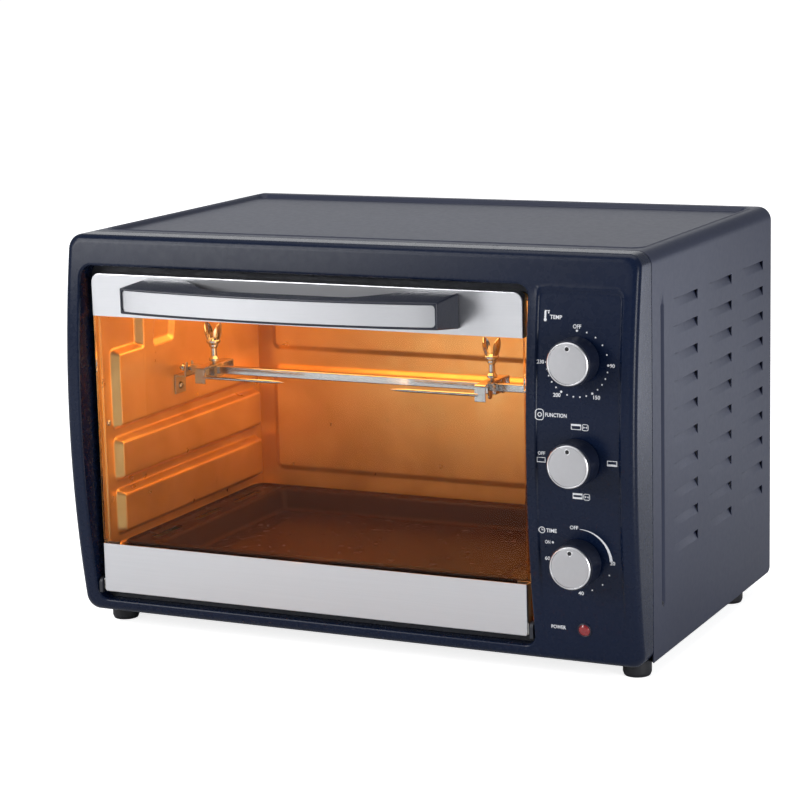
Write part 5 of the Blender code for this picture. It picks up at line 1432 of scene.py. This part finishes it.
def thumb_screw(side, x):
    """Cast screw: threaded stem, waisted neck, and a head of two upright petals, like an open tulip."""
    place = along_z(x, SPIT_Y, SPIT_Z)
    stem = [(4.4 * MM, 0, 0), (4.4 * MM, 1.9 * MM, 0)]
    stem += [(7.6 * MM, 1.9 * MM, 0), (7.6 * MM, 4.6 * MM, 0.7 * MM), (10 * MM, 4.6 * MM, 1 * MM), (12.5 * MM, 2.9 * MM, 2 * MM),
             (20 * MM, 2.7 * MM, 2 * MM), (21.4 * MM, 4.2 * MM, 0.6 * MM), (23.2 * MM, 4.3 * MM, 0.8 * MM),
             (25 * MM, 6.4 * MM, 1 * MM), (27 * MM, 6.6 * MM, 1 * MM), (29 * MM, 4.0 * MM, 1 * MM), (29.3 * MM, 0, 0)]
    bm = turned(filleted(stem, closed=False, step=20), 36, place)
    steps = 10
    for petal in (0, 1):
        rings = []
        for k in range(steps + 1):
            share = k / steps
            z = lerp(25.5 * MM, 43 * MM, share)
            radius = 5.2 * MM + 2.6 * MM * math.sin(math.pi * min(share * 0.75, 1)) + 0.5 * MM * share
            half_angle = math.radians(58 * math.sqrt(max(1 - (max(share - 0.45, 0) / 0.56) ** 2, 0.02)))
            angles = [petal * math.pi + lerp(-half_angle, half_angle, m / 10) for m in range(11)]
            outer = [(x + radius * math.cos(a), SPIT_Y + radius * math.sin(a), SPIT_Z + z) for a in angles]
            wall = 1.5 * MM * (1 - 0.45 * share)
            inner = [(x + (radius - wall) * math.cos(a), SPIT_Y + (radius - wall) * math.sin(a), SPIT_Z + z) for a in angles]
            rings.append(outer + inner[::-1])
        loft(bm, rings)
    add(f"thumb_screw_{side}_tulip", bm, FINISHES["chrome"], f"{side}_thumb_screw", f"thumb_screw_{side}", angle=50)


def spit_bracket():
    """Folded cradle on the left wall: foot plate, arm, and two upturned horns that hold the spit's neck."""
    wall_x = WALL_LEFT_X + PANEL_RISE + GAP
    t = 1.4 * MM
    profile = filleted([(wall_x, SPIT_Z - 24 * MM, 0), (wall_x, SPIT_Z - 6 * MM, 0), (wall_x + 12 * MM, SPIT_Z - 6 * MM, 0),
                        (wall_x + 12 * MM, SPIT_Z - 6 * MM - t, 0), (wall_x + t, SPIT_Z - 6 * MM - t, 0.8 * MM),
                        (wall_x + t, SPIT_Z - 24 * MM, 0)])
    bm = extruded(profile, "Y", SPIT_Y - 9 * MM, SPIT_Y + 9 * MM)
    groove = 2.95 * MM
    horns = filleted([(SPIT_Y - 9 * MM, SPIT_Z - 7.4 * MM, 0), (SPIT_Y + 9 * MM, SPIT_Z - 7.4 * MM, 0),
                      (SPIT_Y + 9 * MM, SPIT_Z - 2 * MM, 3 * MM), (SPIT_Y + 5.6 * MM, SPIT_Z + 6 * MM, 1.2 * MM),
                      (SPIT_Y + groove + 0.8 * MM, SPIT_Z + 6 * MM, 0.8 * MM), (SPIT_Y + groove, SPIT_Z - groove, 2.4 * MM),
                      (SPIT_Y - groove, SPIT_Z - groove, 2.4 * MM), (SPIT_Y - groove - 0.8 * MM, SPIT_Z + 6 * MM, 0.8 * MM),
                      (SPIT_Y - 5.6 * MM, SPIT_Z + 6 * MM, 1.2 * MM), (SPIT_Y - 9 * MM, SPIT_Z - 2 * MM, 3 * MM)])
    extrude(bm, horns, "X", wall_x + 10.6 * MM, wall_x + 12 * MM)
    add("spit_cradle", bm, FINISHES["zinc_steel"], "housing", "spit_bracket", bevel=0.3 * MM, angle=40)
    place = along_x(wall_x + t, SPIT_Y, SPIT_Z - 17 * MM)
    add_screw("spit_cradle_screw", "housing", 3.4 * MM, 1.9 * MM, place, "spit_bracket_screw", reach=12 * MM)


# ---------------------------------------------------------------- trays


def pressed_tray(name, node, finish, body, steps, corner, slots=()):
    """A tray lofted from its rolled rim to its floor, through (inset x, inset y, height) steps."""
    low, high = span(node)
    bm = bmesh.new()
    rings = []
    for inset_x, inset_y, z in steps:
        radius = max(corner - min(inset_x, inset_y) * 0.35, 3 * MM)
        loop = frame_loop((low.x + inset_x, high.x - inset_x), (low.y + inset_y, high.y - inset_y), radius, (12, 12, 12, 12))
        rings.append([(x, y, high.z + z) for x, y in loop])
    loops = loft(bm, rings, capped=False)
    bm.faces.new(loops[-1])
    return add(name, bm, FINISHES[finish], body, node, inside=((low.x + high.x) / 2, (low.y + high.y) / 2, -1.0),
               thickness=0.8 * MM, cutters=slots, angle=45)


def baking_tray():
    """Enamelled pan: rolled rim, wide ledges with three slots a side, a bead, and a floor with a raised field."""
    low, high = span("baking_tray")
    depth = high.z - low.z - 0.9 * MM
    ledge, rim = 34 * MM, 14 * MM
    steps = [(1.2 * MM, 1.2 * MM, -3.4 * MM), (0.3 * MM, 0.3 * MM, -2.6 * MM), (0, 0, -1.7 * MM), (0.3 * MM, 0.3 * MM, -0.7 * MM),
             (1.4 * MM, 1.4 * MM, 0), (2.8 * MM, 2.8 * MM, -0.4 * MM), (3.8 * MM, 3.8 * MM, -1.3 * MM), (5.0 * MM, 4.6 * MM, -1.8 * MM),
             (ledge - 7 * MM, rim - 4.2 * MM, -1.8 * MM), (ledge - 5.5 * MM, rim - 3.4 * MM, -1.5 * MM),
             (ledge - 4 * MM, rim - 2.6 * MM, -0.9 * MM), (ledge - 2.4 * MM, rim - 1.8 * MM, -0.9 * MM),
             (ledge - 0.6 * MM, rim - 0.6 * MM, -1.7 * MM), (ledge + 0.6 * MM, rim + 0.6 * MM, -3.4 * MM),
             (ledge + 5.2 * MM, rim + 5.2 * MM, -depth + 3.2 * MM), (ledge + 6.6 * MM, rim + 6.6 * MM, -depth + 1 * MM),
             (ledge + 9.4 * MM, rim + 9.4 * MM, -depth + 0.1 * MM), (ledge + 13 * MM, rim + 13 * MM, -depth),
             (ledge + 26 * MM, rim + 26 * MM, -depth), (ledge + 27.5 * MM, rim + 27.5 * MM, -depth + 0.3 * MM),
             (ledge + 30 * MM, rim + 30 * MM, -depth + 1.3 * MM), (ledge + 32 * MM, rim + 32 * MM, -depth + 1.6 * MM)]
    slots = bmesh.new()
    for x in (low.x + 17 * MM, high.x - 17 * MM):
        for k in range(3):
            y = low.y + 52 * MM + 75 * MM * k
            outline = filleted(rectangle((x - 3.5 * MM, x + 3.5 * MM), (y - 24 * MM, y + 24 * MM), 3.4 * MM), step=30)
            extrude(slots, outline, "Z", high.z - 6 * MM, high.z + 5 * MM)
    pressed_tray("baking_pan", "baking_tray", "tray_enamel", "baking_tray", steps, 12 * MM, (slots,))


def crumb_tray():
    low, high = span("crumb_tray")
    depth = high.z - low.z - 0.9 * MM
    steps = [(0, 0, -0.9 * MM), (0.3 * MM, 0.3 * MM, -0.2 * MM), (1 * MM, 1 * MM, 0), (2.2 * MM, 2.2 * MM, -0.1 * MM),
             (3.4 * MM, 3.4 * MM, -0.9 * MM), (7 * MM, 7 * MM, -depth + 0.5 * MM), (9 * MM, 9 * MM, -depth),
             (34 * MM, 34 * MM, -depth), (37 * MM, 37 * MM, -depth + 0.7 * MM), (40 * MM, 40 * MM, -depth + 0.8 * MM)]
    pressed_tray("crumb_pan", "crumb_tray", "zinc_steel", "crumb_tray", steps, 9 * MM)


# ---------------------------------------------------------------- pieces inside the casing


def mechanisms():
    """Switch bodies, their shafts, the motor and its bracket, the lamp holder and the cord gland."""
    for name, node in (("temperature", "thermostat"), ("function", "function_switch"), ("timer", "timer")):
        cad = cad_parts[node]
        points = [Vector(v.co) - ORIGIN for v in cad.data.vertices]
        place = knob_place(CONTROL_Z[name])
        local = [place.inverted() @ p for p in points]
        low = [min(p[k] for p in local) for k in range(3)]
        high = [max(p[k] for p in local) for k in range(3)]
        bm = extruded(filleted(rectangle((low[0], high[0]), (low[2], high[2]), 3 * MM)), "Y", low[1] + 1.2 * MM, high[1])
        plate = filleted(rectangle((low[0] * 0.9, high[0] * 0.9), (low[2] * 0.9, high[2] * 0.9), 2 * MM))
        extrude(bm, plate, "Y", low[1], low[1] + 1.3 * MM)
        for x in (-8 * MM, 8 * MM):
            lug = filleted(rectangle((x - 3 * MM, x + 3 * MM), (-0.4 * MM, 0.4 * MM), 0.3 * MM))
            extrude(bm, lug, "Y", high[1] - 0.2 * MM, high[1])
        add(f"{node}_case", bm, FINISHES["moulded_housing"], "housing", node, bevel=0.4 * MM, angle=50,
            place=place)
        start, end = (corner.y - place.translation.y for corner in span(f"{name}_shaft"))
        stem = filleted([(start, 0, 0), (start, 3 * MM, 0.5 * MM), (end, 3 * MM, 0), (end, 0, 0)], closed=False)
        add(f"{name}_spindle", turned(stem, 32), FINISHES["zinc_steel"], f"{name}_control", f"{name}_shaft",
            place=place)
    holder = filleted([(2.3 * MM, 0, 0), (2.3 * MM, 3.9 * MM, 0), (3.3 * MM, 3.9 * MM, 0), (3.3 * MM, 6 * MM, 0.4 * MM), (5 * MM, 6 * MM, 0.4 * MM),
                       (5 * MM, 3.5 * MM, 0), (18 * MM, 3.5 * MM, 0.6 * MM), (18 * MM, 0, 0)], closed=False)
    add("power_lamp_socket", turned(holder, 32), FINISHES["moulded_housing"], "housing",
        "power_lamp_holder", place=lamp_place())
    low, high = span("rotisserie_motor")
    case = filleted([(0, 0, 0), (0, 24 * MM, 1 * MM), (1.5 * MM, 25 * MM, 0.8 * MM), (9.6 * MM, 25 * MM, 0), (9.6 * MM, 24.4 * MM, 0), (10.4 * MM, 24.4 * MM, 0),
                     (10.4 * MM, 25 * MM, 0), (19 * MM, 25 * MM, 0.8 * MM), (20.5 * MM, 23.8 * MM, 0.8 * MM), (20.5 * MM, 0, 0)], closed=False)
    bore = turned([(-5 * MM, 3.3 * MM), (9 * MM, 3.3 * MM)], 24, along_x(low.x, SPIT_Y, SPIT_Z))
    add("motor_case", turned(case, 64, along_x(low.x, SPIT_Y, SPIT_Z)), FINISHES["zinc_steel"], "housing",
        "rotisserie_motor", cutters=(bore,), angle=40)
    low, high = span("motor_bracket")
    t = 1.4 * MM
    outline = filleted([(low.x, low.z, 0), (high.x, low.z, 1.8 * MM), (high.x, high.z, 0), (high.x - t, high.z, 0),
                        (high.x - t, low.z + t, 0.6 * MM), (low.x, low.z + t, 0)])
    hole = turned([(-12 * MM, 9 * MM), (8 * MM, 9 * MM)], 32, along_x(high.x, SPIT_Y, SPIT_Z))
    add("motor_plate", extruded(outline, "Y", low.y, high.y), FINISHES["zinc_steel"], "housing", "motor_bracket",
        cutters=(hole,), bevel=0.3 * MM, angle=50)
    liner = block((HALF_WIDTH - 14 * MM, 18 * MM, 22 * MM), (HALF_WIDTH - 13.2 * MM, DEPTH - 8 * MM, 318 * MM))
    add("side_liner", liner, FINISHES["liner_steel"], "housing", bevel=0.2 * MM)
    # Dark sheet behind the rear vents, standing in for the shade inside them.
    baffle = block((-206 * MM, DEPTH - 18 * MM, 240 * MM), (222 * MM, DEPTH - 17.2 * MM, 304 * MM))
    add("vent_shade_baffle", baffle, FINISHES["dark_sheet"], "housing", bevel=0.2 * MM)
    low, high = span("cord_gland")
    length = high.y - low.y
    gland = filleted([(0, 3.6 * MM, 0.4 * MM), (0, 6.6 * MM, 0.6 * MM), (1 * MM, 7 * MM, 0), (length - 2.2 * MM, 7 * MM, 0),
                      (length - 2.2 * MM, 10 * MM, 0.6 * MM), (length, 9 * MM, 0.8 * MM), (length, 4.2 * MM, 0.5 * MM), (length - 1.4 * MM, 3.6 * MM, 0)])
    add("cord_bush", turned(gland, 48, Matrix.Translation((220 * MM, low.y, 40 * MM)), inner=True), FINISHES["black_plastic"],
        "housing", "cord_gland", angle=40)


# ---------------------------------------------------------------- studio


def floor():
    bm = bmesh.new()
    bmesh.ops.create_circle(bm, cap_ends=True, segments=96, radius=60)
    mesh = bpy.data.meshes.new("floor")
    bm.to_mesh(mesh)
    bm.free()
    mesh.materials.append(FINISHES["studio_floor"])
    plane = bpy.data.objects.new("studio_floor", mesh)
    bpy.context.scene.collection.objects.link(plane)


def aim(thing, place, target):
    thing.location = place
    thing.rotation_mode = "QUATERNION"
    thing.rotation_quaternion = (Vector(target) - Vector(place)).to_track_quat("-Z", "Y")


def area_light(name, place, target, size, power, colour=(1, 1, 1)):
    lamp = bpy.data.lights.new(name, "AREA")
    lamp.shape = "RECTANGLE"
    lamp.size, lamp.size_y = size
    lamp.energy = power
    lamp.color = colour
    made = bpy.data.objects.new(name, lamp)
    bpy.context.scene.collection.objects.link(made)
    made.visible_camera = made.visible_transmission = False
    aim(made, place, target)
    return made


ROOM_LIGHT = 0.3
FLOOR_GLOW = 0.8


def studio():
    """Pale world, soft boxes over and beside the oven, and the warm light of its own lamp and heaters."""
    bpy.context.scene.view_settings.view_transform = "Standard"
    world = bpy.data.worlds.new("studio")
    bpy.context.scene.world = world
    world.use_nodes = True
    nodes, links = world.node_tree.nodes, world.node_tree.links
    seen = nodes["Background"]
    seen.inputs["Color"].default_value = (1.0, 1.0, 1.0, 1.0)
    seen.inputs["Strength"].default_value = 1.1
    room = nodes.new("ShaderNodeBackground")
    room.inputs["Color"].default_value = (0.93, 0.96, 1.0, 1.0)
    room.inputs["Strength"].default_value = ROOM_LIGHT
    choice = nodes.new("ShaderNodeMixShader")
    links.new(nodes.new("ShaderNodeLightPath").outputs["Is Camera Ray"], choice.inputs["Fac"])
    links.new(room.outputs["Background"], choice.inputs[1])
    links.new(seen.outputs["Background"], choice.inputs[2])
    links.new(choice.outputs["Shader"], nodes["World Output"].inputs["Surface"])
    centre = (0, 0, 0.18)
    area_light("overhead", (0.0, 0.4, 3.0), centre, (2.6, 2.2), 32)
    area_light("rear_left", (-1.5, 2.9, 1.1), centre, (2.6, 1.6), 9)
    area_light("floor_wash", (-1.65, -1.8, 2.0), (-1.65, -1.8, 0), (1.4, 1.2), 38)
    area_light("front_left", (-1.9, -2.6, 1.3), (-0.1, 0, 0.2), (1.3, 1.1), 42)
    area_light("right_side", (2.5, -1.2, 0.8), centre, (0.9, 1.4), 10)
    area_light("edge_strip", (1.05, -0.5, 0.22), (0.26, -0.13, 0.2), (0.2, 0.42), 3.0)
    area_light("side_card", (0.72, 0.66, 0.2), (0.26, -0.13, 0.2), (0.3, 0.38), 0.9, (0.84, 0.87, 1.0))
    warm = (1.0, 0.45, 0.12)
    middle = Vector(((WALL_LEFT_X + WALL_RIGHT_X) / 2, 120 * MM, 0)) + ORIGIN
    area_light("cavity_glow_above", middle + Vector((0, 0, 296 * MM)), middle, (0.34, 0.2), 1.15, warm)
    area_light("cavity_glow_front", middle + Vector((0, -110 * MM, 150 * MM)), middle + Vector((-0.2, 0, 0.12)), (0.12, 0.18),
               0.22, warm)


def camera():
    """The photograph's viewing angle: a long lens a little above and to the right of the front."""
    data = bpy.data.cameras.new("camera")
    data.lens = 112.95
    data.sensor_width = 36.0
    data.clip_start, data.clip_end = 0.1, 200.0
    made = bpy.data.objects.new("camera", data)
    bpy.context.scene.collection.objects.link(made)
    azimuth, elevation, roll = math.radians(25.823), math.radians(10.821), math.radians(-1.404)
    forward = Vector((-math.sin(azimuth) * math.cos(elevation), math.cos(azimuth) * math.cos(elevation), -math.sin(elevation)))
    made.location = Vector((0.9406, -1.9760, 0.6144))
    made.rotation_mode = "QUATERNION"
    made.rotation_quaternion = forward.to_track_quat("-Z", "Y") @ Matrix.Rotation(roll, 3, "Z").to_quaternion()
    bpy.context.scene.camera = made


FINISHES = {
    "navy_paint": navy_paint(),
    "casing_paint": casing_paint(),
    "dark_sheet": dark_sheet(),
    "brushed_steel": brushed_steel(),
    "insert_steel": brushed_steel("insert_steel"),
    "spun_steel": spun_steel(),
    "bright_rim": bright_rim(),
    "chrome": chrome(),
    "cavity_sheet": cavity_sheet(),
    "tray_enamel": tray_enamel(),
    "heater_steel": heater_steel(),
    "zinc_steel": zinc_steel(),
    "liner_steel": zinc_steel("liner_steel"),
    "glass": glass(),
    "lamp_glass": glass("lamp_glass", (0.96, 0.95, 0.92)),
    "bulb_glass": black_plastic("bulb_glass", (0.8, 0.72, 0.6), 0.2, 0.3),
    "black_plastic": black_plastic(),
    "knob_plastic": black_plastic("knob_plastic", (0.006, 0.009, 0.022), 0.35, 0.45, 0.3),
    "foot_plastic": foot_plastic(),
    "red_lens": red_lens(),
    "print_white": print_white(),
    "pointer_black": pointer_black(),
    "moulded_housing": moulded_housing(),
    "studio_floor": studio_floor(),
}

camera()
studio()
floor()
wrap_casing()
front_fascia()
front_frame()
rear_cover()
base_pan()
feet()
side_screws()
door()
handle()
hinges()
controls()
power_lamp()
legends()
cavity()
heaters()
oven_lamp()
spit()
fork("left", 1)
fork("right", -1)
spit_bracket()
baking_tray()
crumb_tray()
mechanisms()
